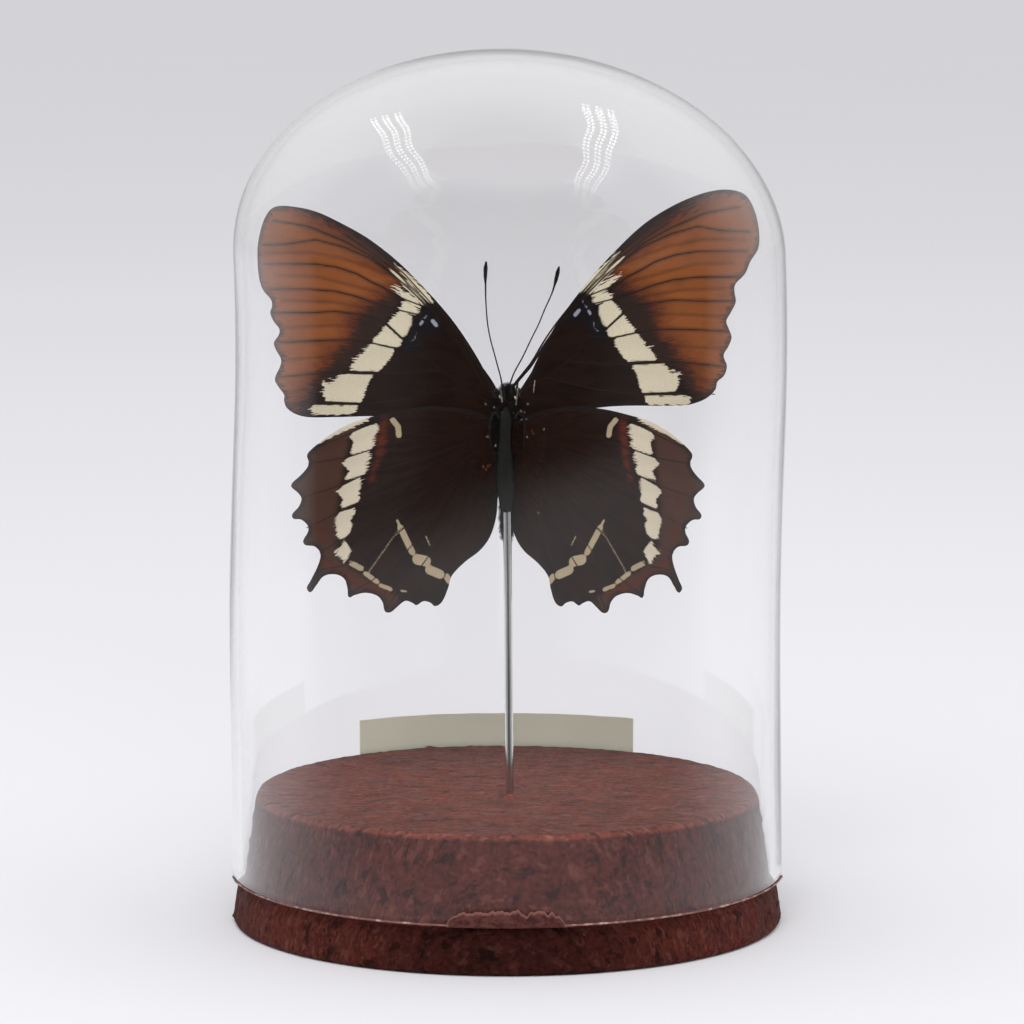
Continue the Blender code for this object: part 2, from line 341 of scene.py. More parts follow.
# %% [markdown]
# A ray knows how often it was mirrored and how many glass surfaces it has crossed, so the floor
# can answer mirrored rays in one way and all others in another. To every other ray it is plain
# pale paper. Where the glass mirrors it, the part in front of the dome is dimmed, and the rod,
# which only rays that have crossed the wall can reach, mirrors a darker wedge straight ahead.

# %% Floor
FORE_DIMMED = -0.61
WEDGE_DIMMED = -0.85
WEDGE_SLOPE = -0.45
WALL_CROSSED = 3.5


def mirrored_only(tree):
    """1 for rays that a surface has mirrored, 0 for all others."""
    return sum_up(tree, "GREATER_THAN", wire(tree, "LightPath").outputs["Glossy Depth"], 0.5)


def lay_floor(radius):
    """A pale floor painted softly darker behind the object: painted shade, as light falls off on a
    paper sweep.
    """
    material, tree, shader = new_finish("pale_floor", Roughness=0.9, Specular_IOR_Level=0.0)
    place = object_place(tree)
    away = wire(tree, "VectorMath", {0: place}, operation="LENGTH").outputs["Value"]
    grain = cloud(tree, place, 3.0, 0.0)
    near = tint(tree, grain, (0.735, 0.73, 0.75), (0.75, 0.745, 0.765))
    far_shaded_paper = tint(tree, grain, (0.725, 0.72, 0.735), (0.735, 0.73, 0.745))
    paper = tint(tree, blend_range(tree, away, 0.9, 2.0), near, far_shaded_paper)
    mirrored = mirrored_only(tree)
    back = axis(tree, place, "Y")
    fore = blend_range(tree, back, -0.10, 0.02, FORE_DIMMED, 0.0)
    dimmed = sum_up(tree, "MULTIPLY_ADD", mirrored, fore, 1.0)
    aside = sum_up(tree, "SUBTRACT", sum_up(tree, "ABSOLUTE", axis(tree, place, "X")),
                   times(tree, back, WEDGE_SLOPE))
    wedge = blend_range(tree, aside, -0.01, 0.05, 1.0, 0.0)
    crossings = wire(tree, "LightPath").outputs["Transmission Depth"]
    inside = sum_up(tree, "GREATER_THAN", crossings, WALL_CROSSED)
    shaded = times(tree, wedge, inside, mirrored)
    dimmed = times(tree, dimmed, sum_up(tree, "MULTIPLY_ADD", shaded, WEDGE_DIMMED, 1.0))
    grey = wire(tree, "CombineColor", {0: dimmed, 1: dimmed, 2: dimmed}).outputs[0]
    plug(tree, shader, Base_Color=tint(tree, 1.0, paper, grey, blend="MULTIPLY"))
    bm = bmesh.new()
    bmesh.ops.create_circle(bm, cap_ends=True, cap_tris=True, segments=96, radius=radius)
    stage_piece("floor", bm, material)


lay_floor(radius=30)

# %% [markdown]
# Two soft lamps beside the camera light the insect and can't be seen in the glass. Two long lamps
# overhead do the opposite. Each is three rows of small bright squares, which leave the dotted
# glints on the shoulders of the dome and light next to nothing.

# %% Lamps
def hang_softbox(name, place, size, watts):
    """A large soft lamp beside the camera, aimed at the insect."""
    light = bpy.data.lights.new(name, "AREA")
    light.shape = "SQUARE"
    light.size = size
    light.energy = watts
    lamp = bpy.data.objects.new(name, light)
    lamp.location = place
    lamp.rotation_euler = (Vector(place) - Vector((0, 0, 0.07))).to_track_quat("Z", "Y").to_euler()
    lamp.visible_glossy = lamp.visible_transmission = lamp.visible_camera = False
    bpy.context.scene.collection.objects.link(lamp)


def hang_lamp(name, corners, strength, rows=9, squares=30):
    """A long lamp between four corners, cut into small lit squares with dark bars between."""
    lit, tree, _ = new_finish(name + "_light")
    lit.cycles.emission_sampling = "NONE"
    bounced = wire(tree, "LightPath").outputs["Diffuse Depth"]
    power = times(tree, sum_up(tree, "LESS_THAN", bounced, 0.5), strength)
    show(tree, wire(tree, "Emission", {"Color": (1.0, 0.99, 0.97, 1), "Strength": power}).outputs[0])
    bm = bmesh.new()
    bmesh.ops.create_grid(bm, x_segments=rows, y_segments=squares, size=0.5)
    cells = bm.faces[:]
    bars = bmesh.ops.inset_individual(bm, faces=cells, thickness=0.008, use_even_offset=False)
    gaps = bars["faces"] + [f for i, f in enumerate(cells) if i % rows % 3 == 2]
    bmesh.ops.delete(bm, geom=gaps, context="FACES")
    for face in bm.faces:
        middle = face.calc_center_median()
        for vert in face.verts:
            vert.co.x = middle.x + 0.72 * (vert.co.x - middle.x) + 0.05 * math.sin(17 * middle.y)
    a, b, c, d = [Vector((*corner, LAMP_HEIGHT)) for corner in corners]
    for vert in bm.verts:
        across, along = vert.co.x + 0.5, vert.co.y + 0.5
        vert.co = a.lerp(b, across).lerp(d.lerp(c, across), along)
    lamp = stage_piece(name, bm, lit)
    lamp.visible_camera = lamp.visible_shadow = lamp.visible_diffuse = False


LAMP_HEIGHT = 1.5
LAMP_CORNERS = {"left_lamp": [(-0.80, 0.92), (-0.53, 0.74), (-0.66, -0.95), (-1.03, -1.20)],
                "right_lamp": [(0.43, 0.84), (0.66, 0.95), (1.07, -1.08), (0.69, -0.92)]}
hang_softbox("high_softbox", place=(-0.25, -1.20, 1.20), size=0.9, watts=14.0)
hang_softbox("low_softbox", place=(0.25, -1.65, 0.36), size=0.7, watts=11.0)
for lamp_name, lamp_corners in LAMP_CORNERS.items():
    hang_lamp(lamp_name, lamp_corners, strength=3.8)

# %% [markdown]
# A dark card is bent round the front. Only mirrored rays meet it, so it hides nothing and throws
# no shadow. It is strongest straight ahead and fades out behind the flanks, so the middle of the
# butterfly shows deep and clear while both flanks carry a pale veil.

# %% Card
def stand_card(distance, height):
    """The dark card bent round the front: clear to every ray that has not been mirrored."""
    dark, tree, _ = new_finish("dark_card")
    black = wire(tree, "Emission", {"Color": (0.03, 0.028, 0.03, 1), "Strength": 1.0}).outputs[0]
    place = object_place(tree)
    rise = axis(tree, place, "Z")
    turn = sum_up(tree, "ARCTAN2", sum_up(tree, "ABSOLUTE", axis(tree, place, "X")),
                  times(tree, axis(tree, place, "Y"), -1.0))
    middle = blend_range(tree, turn, 0.45, 0.95, 1.0, 0.72)
    flank = blend_range(tree, turn, 1.35, 1.95, 1.0, 0.0)
    soft_top = blend_range(tree, rise, height - 0.5, height, 1.0, 0.0)
    soft_foot = blend_range(tree, rise, 0.0, 0.03)
    amount = times(tree, mirrored_only(tree), middle, flank, soft_top, soft_foot)
    clear = wire(tree, "BsdfTransparent").outputs[0]
    show(tree, wire(tree, "MixShader", {0: amount, 1: clear, 2: black}).outputs[0])
    bm = bmesh.new()
    foot = bm.verts.new((-distance, 0.0, 0.001))
    edge = bm.edges.new((foot, bm.verts.new((-distance, 0.0, height))))
    bmesh.ops.rotate(bm, matrix=Matrix.Rotation(math.radians(-35), 3, "Z"), verts=bm.verts)
    bmesh.ops.spin(bm, geom=[edge] + list(edge.verts), cent=(0, 0, 0), axis=(0, 0, 1),
                   angle=math.radians(250), steps=60)
    card = stage_piece("front_card", bm, dark)
    card.visible_camera = card.visible_diffuse = card.visible_shadow = False


stand_card(distance=0.5, height=1.0)

# %% [markdown]
# ## The glass dome
# The real dome is a gather of clear glass blown into a tube with a rounded top, cut, and melted
# smooth round its open edge. It is never quite true, and that is what makes it look blown. The
# wall is drawn once as a profile, outer side down, round the lip and up the inner side, and spun
# with one full `spin`, so the wall has its real thickness and light bends twice in it. The ring
# of points is then pushed sideways by the drift of the blown form and in and out by slow ripples.
# Light rays that only ask "is a lamp in sight" pass straight through, so that the lamps still
# light the butterfly.

# %% Glass
RIM_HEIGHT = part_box("glass_dome")[0].z / MM
TOP_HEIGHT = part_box("glass_dome")[1].z / MM
SPRING_HEIGHT = 97.3
CAP_RISE = TOP_HEIGHT - SPRING_HEIGHT
RIM_RADIUS = 40.3
TUBE_TAPER = 0.0045
WALL = 1.4
SWAY, SWAY_CREST, SWAY_WAVE = 0.9, 84.0, 88.0


def sway(height):
    """Sideways drift of the blown glass, which grows towards the top."""
    return (SWAY * height / (SPRING_HEIGHT + CAP_RISE)
            * math.cos(2 * math.pi * (height - SWAY_CREST) / SWAY_WAVE))


def dome_profile(cap_steps, tube_steps, lip_steps):
    """Outer wall from the top down, round the lip, and the inner wall back up."""
    top_radius = RIM_RADIUS - TUBE_TAPER * (SPRING_HEIGHT - RIM_HEIGHT)
    outer, inner, lip = [], [], []
    for i in range(cap_steps + 1):
        turn = math.pi / 2 * (1 - i / cap_steps)
        outer.append((top_radius * math.cos(turn), SPRING_HEIGHT + CAP_RISE * math.sin(turn)))
        inner.append(((top_radius - WALL) * math.cos(turn),
                      SPRING_HEIGHT + (CAP_RISE - WALL) * math.sin(turn)))
    lip_height = RIM_HEIGHT + WALL / 2
    for i in range(1, tube_steps + 1):
        height = SPRING_HEIGHT + (lip_height - SPRING_HEIGHT) * i / tube_steps
        radius = RIM_RADIUS - TUBE_TAPER * (height - RIM_HEIGHT)
        outer.append((radius, height))
        inner.append((radius - WALL, height))
    for i in range(1, lip_steps):
        turn = -math.pi * i / lip_steps
        lip.append((RIM_RADIUS - WALL / 2 + WALL / 2 * math.cos(turn),
                    lip_height + WALL / 2 * math.sin(turn)))
    return outer + lip + inner[::-1]


def lathe(profile, steps):
    """Spins a (radius, height) profile once round Z and closes the seam and the poles."""
    bm = bmesh.new()
    verts = [bm.verts.new((radius, 0.0, height)) for radius, height in profile]
    edges = [bm.edges.new(pair) for pair in zip(verts, verts[1:])]
    bmesh.ops.spin(bm, geom=verts + edges, cent=(0, 0, 0), axis=(0, 0, 1),
                   angle=2 * math.pi, steps=steps, use_merge=True)
    bmesh.ops.remove_doubles(bm, verts=bm.verts, dist=0.0005)
    return bm


def clear_glass():
    material, tree, shader = new_finish(
        "clear_blown_glass", Base_Color=(0.998, 0.998, 0.998, 1), Roughness=0.0, IOR=1.5,
        Transmission_Weight=1.0)
    place = object_place(tree)
    slow = streaky(tree, place, (25, 25, 14), 0.0)
    plug(tree, shader, Normal=relief(tree, slow, 0.0006, 0.5))
    lamp_ray = wire(tree, "LightPath").outputs["Is Shadow Ray"]
    clear = wire(tree, "BsdfTransparent", {"Color": (0.95, 0.95, 0.95, 1)}).outputs[0]
    show(tree, wire(tree, "MixShader", {0: lamp_ray, 1: shader.outputs[0], 2: clear}).outputs[0])
    return material


def make_glass():
    bm = lathe(dome_profile(cap_steps=60, tube_steps=60, lip_steps=12), steps=180)
    for vert in bm.verts:
        place = vert.co
        around = Vector((place.x / 30, place.y / 30, place.z / 45))
        outward = Vector((place.x, place.y, 0)).normalized()
        ripple = 0.16 * noise.noise(around) + 0.05 * noise.noise(around * 2.7)
        vert.co = place + outward * ripple + Vector((sway(place.z), 0, 0))
    return hand_in("blown_glass_dome", bm, clear_glass(), ["glass_dome"])


make_glass()

# %% [markdown]
# ## The cork
# This stopper is agglomerated cork: granules of one to three millimetres pressed in a mould,
# turned to a taper and stained dark mahogany. Up close it is a mosaic of grains with pits where
# one broke out and short scratches from turning. The body is a fine spin of the stopper's
# profile. Noise moves its points in and out, so pits and grain edges are real, and the finer
# tooth is left to the shader's relief. The mosaic is a node group with a place and a grain size.

# %% Cork
def build_granules():
    """Mosaic of pressed grains: a shade for each grain, a dark seam between them, and height."""
    tree, (inputs, outputs) = new_group(
        "pressed_granules", {"Place": "vector", "Grain": "value"},
        {"Shade": "value", "Seam": "value", "Height": "value"})
    bent = wire(tree, "TexNoise", {"Vector": inputs["Place"], "Scale": 900.0, "Detail": 2.0})
    moved = wire(tree, "VectorMath", {0: bent.outputs["Color"], 1: (0.0007, 0.0007, 0.0007)},
                 operation="MULTIPLY").outputs[0]
    place = wire(tree, "VectorMath", {0: inputs["Place"], 1: moved}, operation="ADD").outputs[0]
    cells = wire(tree, "TexVoronoi", {"Vector": place, "Scale": inputs["Grain"]})
    seams = wire(tree, "TexVoronoi", {"Vector": place, "Scale": inputs["Grain"]},
                 feature="DISTANCE_TO_EDGE")
    shade = wire(tree, "SeparateColor", {"Color": cells.outputs["Color"]}).outputs[0]
    seam = blend_range(tree, seams.outputs["Distance"], 0.0, 0.16, 1.0, 0.0)
    fine = cloud(tree, inputs["Place"], 2600.0, 4.0, 0.65)
    high = sum_up(tree, "SUBTRACT", fine, times(tree, seam, 0.6))
    for title, source in (("Shade", shade), ("Seam", seam), ("Height", high)):
        tree.links.new(source, outputs[title])
    return tree


granules = build_granules()


def stained_cork():
    material, tree, shader = new_finish("stained_cork", Specular_IOR_Level=0.1)
    place = object_place(tree)
    grain = use_group(tree, granules, {"Place": place, "Grain": 480.0})
    base = tint(tree, grain["Shade"], (0.150, 0.032, 0.0195), (0.200, 0.047, 0.030))
    patchy = blend_range(tree, cloud(tree, place, 110.0, 3.0, 0.65), 0.38, 0.66)
    fine = blend_range(tree, cloud(tree, place, 1300.0, 2.0, 0.7), 0.36, 0.62)
    streaks = streaky(tree, place, (230, 900, 330), 2.0, 0.6)
    scratches = streaky(tree, place, (420, 2600, 420), 2.0, 0.6)
    specks = wire(tree, "TexVoronoi", {"Vector": place, "Scale": 330.0}).outputs["Distance"]
    dark = (0.042, 0.013, 0.010)
    for amount, colour in (
            (times(tree, patchy, 0.6), (0.088, 0.026, 0.019)),
            (times(tree, fine, 0.6), (0.30, 0.082, 0.052)),
            (times(tree, grain["Seam"], 0.12), (0.050, 0.013, 0.010)),
            (blend_range(tree, streaks, 0.58, 0.70, 0.0, 0.6), (0.34, 0.12, 0.085)),
            (blend_range(tree, streaks, 0.42, 0.33, 0.0, 0.75), dark),
            (blend_range(tree, scratches, 0.60, 0.66, 0.0, 0.65), dark),
            (blend_range(tree, scratches, 0.40, 0.34, 0.0, 0.45), (0.42, 0.17, 0.12)),
            (blend_range(tree, specks, 0.03, 0.065, 0.5, 0.0), (0.50, 0.27, 0.20))):
        base = tint(tree, amount, base, colour)
    # Painted shade: below its top the stained cork is darkened as if lit from above, and the collar
    # is darker still, most of all across the middle.
    rise = axis(tree, place, "Z")
    painted_side_shade = blend_range(tree, rise, 0.0183, 0.0190, 1.0, 0.0)
    painted_collar_shade = blend_range(tree, rise, 0.0066, 0.0074, 1.0, 0.0)
    aside = sum_up(tree, "ABSOLUTE", axis(tree, place, "X"))
    middle = blend_range(tree, aside, 0.006, 0.036, 1.0, 0.15)
    base = tint(tree, painted_side_shade, base, (0.40, 0.34, 0.37), blend="MULTIPLY")
    base = tint(tree, times(tree, painted_collar_shade, middle), base, (0.28, 0.26, 0.26), blend="MULTIPLY")
    plug(tree, shader, Base_Color=base, Roughness=blend_range(tree, grain["Shade"], 0, 1, 0.6, 0.85),
         Normal=relief(tree, grain["Height"], 0.0002, 0.7))
    return material


CORK_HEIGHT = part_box("cork_stopper")[1].z / MM
CORK_PROFILE = [(39.2, 0.0), (39.9, 0.25), (40.1, 0.8), (39.5, 4.9), (39.0, 6.0), (38.5, 7.0),
                (36.75, 18.7), (36.3, CORK_HEIGHT)]
ROD_FOOT = Vector((0.42, -7.8, 11.6))
ROD_TIP = Vector((-0.1, -7.8, 75.2))
ROD_LINE = (ROD_TIP - ROD_FOOT).normalized()
ROD_HOLE = ROD_FOOT + ROD_LINE * ((CORK_HEIGHT - ROD_FOOT.z) / ROD_LINE.z)


def cork_points(spacing):
    """The stopper's profile from the middle of its foot to the middle of its top, evenly cut."""
    corners = [Vector((0.0, 0.0))] + [Vector(p) for p in CORK_PROFILE] + [Vector((0.0, CORK_HEIGHT))]
    line = []
    for start, stop in zip(corners, corners[1:]):
        cuts = max(1, round((stop - start).length / spacing))
        line += [start.lerp(stop, i / cuts) for i in range(cuts)]
    return [tuple(p) for p in line] + [tuple(corners[-1])]


def make_cork():
    bm = lathe(cork_points(spacing=0.6), steps=360)
    bm.normal_update()
    moves = []
    for vert in bm.verts:
        place = vert.co
        seam = noise.voronoi(place / 2.2)[0]
        edge = min(1.0, (seam[1] - seam[0]) / 0.25)
        pit = max(0.0, noise.noise(place / 1.3) - 0.42)
        torn = max(0.0, 1.0 - (place - ROD_HOLE).length / 1.3)
        depth = 0.09 * (1 - edge) + 0.9 * pit + 0.05 * noise.noise(place / 0.8) + 1.4 * torn
        moves.append(vert.normal * -min(depth, 0.6 + torn) if place.z > 0.5 else Vector())
    for vert, move in zip(bm.verts, moves):
        vert.co += move
    return hand_in("pressed_cork_stopper", bm, stained_cork(), ["cork_stopper"], sharp=60)


make_cork()

# %% [markdown]
# ## The wings: drawing
# Each wing is a thin membrane, stiffened by veins and covered with scales. The drawings give the
# outline and the veins of the left pair as (reach from the middle, height). The markings are
# drawn the same way: closed patches for the cream cells of the band, and pen strokes with a
# width for the small marks. The right forewing was set a little higher and narrower, so its
# marks pass through a small change of scale. The hindwings share one drawing, and the right one
# was pinned with its tail nearer the body.

# %% Outlines
LEFT_FOREWING = [
    (2.05, 77.6), (3.0, 80.3), (5.0, 83.9), (8.0, 88.2), (12.0, 92.7), (16.0, 96.6),
    (20.0, 99.7), (24.0, 102.0), (28.0, 103.8), (32.0, 104.5), (34.2, 104.3), (35.4, 103.2),
    (36.4, 100.8), (36.9, 98.0), (36.7, 94.2), (36.0, 92.3), (34.7, 90.9), (34.5, 90.0),
    (34.8, 89.0), (34.3, 87.8), (33.4, 86.6), (33.5, 85.8), (34.2, 84.7), (34.0, 83.8),
    (33.2, 82.3), (33.3, 81.3), (34.1, 79.4), (33.7, 78.4), (32.8, 77.1), (32.8, 76.2),
    (32.4, 75.2), (31.0, 74.3), (29.0, 73.9), (25.0, 74.0), (19.0, 74.2), (10.0, 73.9),
    (2.05, 73.5)]
RIGHT_FOREWING = [
    (2.05, 76.9), (3.0, 79.5), (5.0, 83.8), (7.0, 87.3), (9.0, 90.2), (12.0, 94.0),
    (16.0, 98.3), (20.0, 102.0), (24.0, 104.5), (28.0, 106.2), (31.0, 106.85), (33.5, 106.7),
    (35.1, 105.9), (36.3, 103.9), (37.0, 101.0), (36.9, 98.3), (35.7, 96.4), (34.9, 94.6),
    (33.5, 93.1), (33.4, 92.0), (33.6, 90.6), (32.9, 89.1), (32.2, 87.8), (32.6, 86.6),
    (33.0, 85.4), (32.5, 84.1), (31.8, 82.8), (32.3, 81.3), (31.9, 79.9), (30.9, 79.0),
    (30.6, 77.9), (29.5, 76.8), (28.0, 76.1), (26.0, 75.7), (16.0, 75.7), (9.0, 75.0),
    (2.05, 74.0)]
HINDWING = [
    (2.05, 73.0), (4.0, 74.9), (10.0, 75.8), (15.0, 75.3), (19.0, 74.4), (22.0, 73.55),
    (25.0, 72.1), (27.5, 70.3), (28.8, 69.2), (29.35, 68.4), (29.1, 67.3), (29.5, 66.4),
    (30.5, 65.3), (31.5, 64.4), (31.7, 63.8), (30.7, 62.9), (30.2, 62.1), (30.6, 60.9),
    (31.6, 59.7), (31.4, 59.1), (30.3, 59.0), (29.3, 58.1), (29.3, 57.2), (30.0, 55.9),
    (29.7, 55.3), (28.3, 55.1), (27.5, 54.1), (27.8, 52.5), (29.0, 50.0), (29.5, 49.0),
    (29.0, 48.4), (28.2, 49.3), (27.0, 50.8), (25.3, 51.1), (24.0, 50.5), (23.5, 49.0),
    (23.3, 47.8), (22.5, 48.1), (20.9, 48.5), (19.2, 48.1), (18.4, 47.2), (18.0, 45.8),
    (17.2, 45.7), (16.2, 46.5), (15.0, 47.4), (13.9, 47.1), (13.4, 46.8), (12.3, 47.4),
    (11.3, 47.2), (10.6, 46.7), (9.6, 47.3), (8.7, 49.3), (8.1, 51.2), (6.2, 53.2),
    (4.0, 54.9), (2.5, 56.9), (1.6, 59.7), (1.35, 62.8), (1.5, 66.0), (2.05, 69.0)]

# %% [markdown]
# The veins leave the root, run along the middle cell and fan out to the edge. Halfway between
# two veins the membrane has a fold. The veins become real raised rods, and veins and folds
# together give the sheet its shallow pleats.

# %% Veins and folds of the left pair
FOREWING_VEINS = [
    [(2.2, 76.8), (6, 83.0), (10, 88.2), (14.5, 93), (20, 97), (24, 98.7), (28, 99.7), (32, 99),
     (36, 98.8)],
    [(11.5, 89.9), (16.3, 91.7), (18, 92.8), (20, 93.7), (22, 94.8), (25, 95.7), (28, 96.1),
     (35.9, 96)],
    [(12.5, 88.9), (16.2, 89.7), (20, 90.8), (22, 91.5), (25, 92.2), (29, 92.5), (34.9, 92.4)],
    [(13.2, 86.8), (15.4, 85.5), (17.6, 87.6), (20, 88.7), (25, 89.3), (29, 89.1), (34.3, 89)],
    [(12.6, 84.6), (15.9, 84.1), (19.7, 84.8), (23, 85.2), (27, 85.1), (33.4, 84.7)],
    [(2.2, 76.0), (7, 79.0), (11, 82.0), (12.6, 84.6), (13.2, 86.8), (12.5, 88.9), (11.5, 89.9)],
    [(9.6, 80.9), (15, 80.5), (20, 80.4), (23.2, 80.6), (27, 80.4), (33.2, 79.7)],
    [(6.5, 78.6), (14, 76.9), (21.5, 76), (25, 76.1), (32.6, 75.7)],
    [(2.2, 76.6), (6.5, 84.1), (11.4, 90.4), (16, 94.9), (20, 98.0), (23.6, 100.4)],
    [(2.2, 76.7), (6.3, 84.4), (10.8, 90.3), (15, 94.8), (19, 98.2), (20.6, 99.6)],
    [(11.6, 90.2), (15.6, 93.8), (19.6, 97.2), (24, 99.6), (29, 101.6), (34.4, 102.4)]]
FOREWING_FOLDS = [
    [(16, 94.2), (20, 95.6), (24, 97.0), (29, 97.8), (35.6, 97.6)],
    [(17, 91.6), (20, 92.4), (24, 93.4), (28, 94.3), (34, 94.4)],
    [(17, 88.9), (21, 89.9), (26, 90.7), (33, 90.8)],
    [(18.5, 86.4), (23.5, 87.3), (27, 87.2), (33, 86.8)],
    [(18, 82.6), (24, 82.9), (29, 82.5), (33, 82.2)],
    [(11, 78.9), (18, 78.3), (26, 78.3), (32.6, 77.5)]]
HINDWING_VEINS = [
    [(2.4, 73.4), (8, 75.1), (14, 74.8), (18.5, 73.7), (21, 72.7), (24, 71.3), (26, 70.4),
     (28.6, 69.3)],
    [(5, 71.6), (13, 71.4), (20, 69.4), (23.3, 68.3), (29.2, 67.2)],
    [(5, 70.8), (14, 67.9), (21, 65.7), (24, 64.3), (30.2, 62.2)],
    [(5, 69.9), (14, 65.0), (22, 61.6), (24.4, 60.4), (29.5, 57.8)],
    [(5, 69.2), (13.5, 62.3), (20, 58.4), (24.4, 56.2), (27.6, 54.2)],
    [(5, 69.2), (12, 61.2), (18.5, 55.4), (24.2, 52.4), (27.2, 51.8), (28.9, 49.0)],
    [(4.6, 68.8), (10.5, 59.8), (15.6, 53.8), (20.4, 50.0), (23.4, 48.4)],
    [(4.0, 68.6), (8.6, 58.4), (12.6, 52.6), (16.4, 48.4), (17.7, 46.2)],
    [(3.2, 68.6), (6.0, 58.2), (9.0, 51.6), (10.8, 47.2)]]
HINDWING_FOLDS = [
    [(14, 72.9), (22, 70.6), (29.0, 68.3)],
    [(14, 69.4), (22, 67.2), (29.8, 65.0)],
    [(14, 66.4), (22, 63.6), (30.2, 60.4)],
    [(14, 63.6), (23, 58.6), (28.8, 56.0)],
    [(13, 61.6), (21, 55.6), (27.2, 52.2)],
    [(16.3, 57.4), (20.4, 51.6), (23.2, 50.2)],
    [(9.8, 59.0), (14.4, 52.6), (18.8, 48.2)],
    [(7.4, 58.2), (11.0, 51.6), (14.4, 47.4)]]

# %% Patches and strokes of the markings
FOREWING_BAND = [
    [(10.9, 90.6), (11.5, 90.8), (13.7, 93.3), (16.6, 96.3), (13.1, 93.5), (11.5, 91.8)],
    [(11.8, 90.3), (12.4, 90.5), (14.8, 92.9), (17.2, 95.6), (14.2, 93.3), (12.6, 91.5)],
    [(12.7, 90.0), (13.6, 90.3), (15.2, 91.4), (16.6, 93.0), (14.7, 92.2), (13.3, 91.1)],
    [(12.8, 89.4), (13.5, 89.0), (15.8, 89.8), (15.0, 90.8), (13.9, 90.3)],
    [(14.0, 88.5), (14.0, 87.7), (14.8, 86.0), (15.3, 85.8), (17.4, 87.7), (17.2, 88.0),
     (15.7, 89.4), (14.8, 89.2)],
    [(15.4, 85.2), (15.8, 84.5), (16.3, 84.3), (19.6, 84.9), (19.5, 85.3), (18.5, 86.3),
     (17.8, 87.3)],
    [(16.7, 83.9), (17.0, 83.0), (18.0, 81.7), (19.0, 80.8), (23.1, 80.9), (22.3, 82.3),
     (21.3, 83.3), (20.0, 84.6)],
    [(19.7, 80.1), (20.5, 79.0), (21.2, 77.0), (21.6, 76.3), (26.5, 76.4), (26.9, 77.5),
     (26.6, 78.8), (25.2, 79.3), (24.5, 80.2)],
    [(22.0, 75.7), (22.3, 74.9), (23.0, 74.5), (28.3, 74.4), (28.8, 75.0), (28.2, 75.6)]]
FOREWING_SPOTS = [
    ([(10.4, 87.5), (10.9, 88.1)], 0.34), ([(12.7, 87.6), (12.4, 88.0)], 0.26),
    ([(12.1, 88.5), (11.8, 88.8)], 0.18), ([(11.5, 89.1), (11.4, 89.5)], 0.13),
    ([(13.3, 86.4), (13.5, 85.5), (14.1, 85.1)], 0.14), ([(13.9, 84.4), (14.1, 84.3)], 0.06)]
FOREWING_RUST = [
    (14.6, 94.6), (16.2, 92.6), (18.0, 91.2), (20.0, 89.9), (22.4, 88.2), (22.6, 86.2),
    (23.4, 84.2), (25.4, 82.8), (26.4, 81.0), (28.2, 79.3), (29.3, 77.4), (30.6, 75.8),
    (31.6, 73.0), (44.0, 70.0), (44.0, 108.0), (32.0, 106.0), (28.0, 103.3), (24.0, 100.9),
    (20.0, 98.2), (17.0, 95.9)]
FOREWING_BEYOND = [
    (12.6, 92.6), (15.2, 91.2), (17.4, 88.2), (19.6, 85.2), (23.0, 81.2), (25.4, 79.6),
    (28.6, 76.6), (30.0, 72.0), (44.0, 70.0), (44.0, 112.0), (20.0, 112.0)]
HINDWING_BAND = [
    [(19.2, 73.1), (18.95, 72.6), (19.1, 72.0), (19.7, 71.2), (19.6, 70.1), (20.0, 69.6),
     (22.9, 68.8), (22.4, 70.5), (23.0, 71.2), (22.4, 72.0), (21.2, 72.5)],
    [(20.3, 69.2), (20.2, 68.3), (20.8, 67.3), (20.6, 66.6), (21.0, 65.9), (23.8, 65.0),
     (23.0, 66.3), (24.1, 67.3), (23.3, 68.1)],
    [(21.5, 65.3), (21.6, 64.0), (21.9, 63.0), (21.7, 62.3), (22.0, 61.8), (24.3, 60.9),
     (24.0, 62.2), (24.9, 63.2), (24.0, 64.0)],
    [(22.4, 60.8), (22.5, 60.0), (23.2, 59.1), (22.8, 58.5), (23.2, 57.3), (24.0, 56.5),
     (24.8, 56.4), (25.0, 57.5), (25.2, 59.0), (24.6, 60.1)],
    [(23.9, 56.0), (23.0, 54.7), (24.0, 52.8), (25.1, 54.3)],
    [(20.6, 73.7), (22.0, 73.0), (25.0, 71.6), (27.6, 70.2), (27.5, 70.7), (25.0, 72.5),
     (22.0, 73.9), (20.4, 74.4)]]
HINDWING_STROKES = [
    ([(16.8, 73.8), (16.0, 72.8), (15.9, 71.6)], 0.36), ([(22.9, 52.8), (21.5, 52.1)], 0.36),
    ([(20.8, 51.3), (19.2, 50.2)], 0.3), ([(18.6, 49.6), (17.2, 49.1)], 0.24),
    ([(15.6, 48.9), (14.9, 48.8)], 0.1), ([(16.2, 59.2), (15.9, 58.5)], 0.12),
    ([(15.7, 58.1), (15.0, 56.6), (14.0, 54.6)], 0.42), ([(13.2, 53.5), (12.0, 53.3)], 0.72),
    ([(11.4, 52.0), (9.9, 51.4)], 0.62), ([(8.9, 51.1), (8.5, 50.4)], 0.4),
    ([(16.2, 57.6), (20.5, 51.4)], 0.05), ([(12.0, 57.0), (11.4, 55.6)], 0.04)]
HINDWING_STRIPE = [
    ([(18.0, 73.8), (18.3, 71.4), (18.7, 69.0)], 0.62), ([(19.0, 68.0), (20.0, 65.0)], 0.28),
    ([(17.6, 48.6), (19.6, 49.1), (22.0, 50.0), (25.0, 51.7), (27.2, 53.2)], 0.42),
    ([(27.3, 56.4), (28.2, 58.2)], 0.4), ([(27.6, 60.6), (28.0, 62.0)], 0.15)]
HINDWING_BEYOND = [
    (21.0, 74.0), (23.2, 71.0), (24.0, 67.0), (24.8, 63.0), (25.2, 59.0), (25.2, 54.0),
    (23.0, 52.0), (16.0, 48.0), (16.0, 42.0), (40.0, 42.0), (40.0, 76.0)]

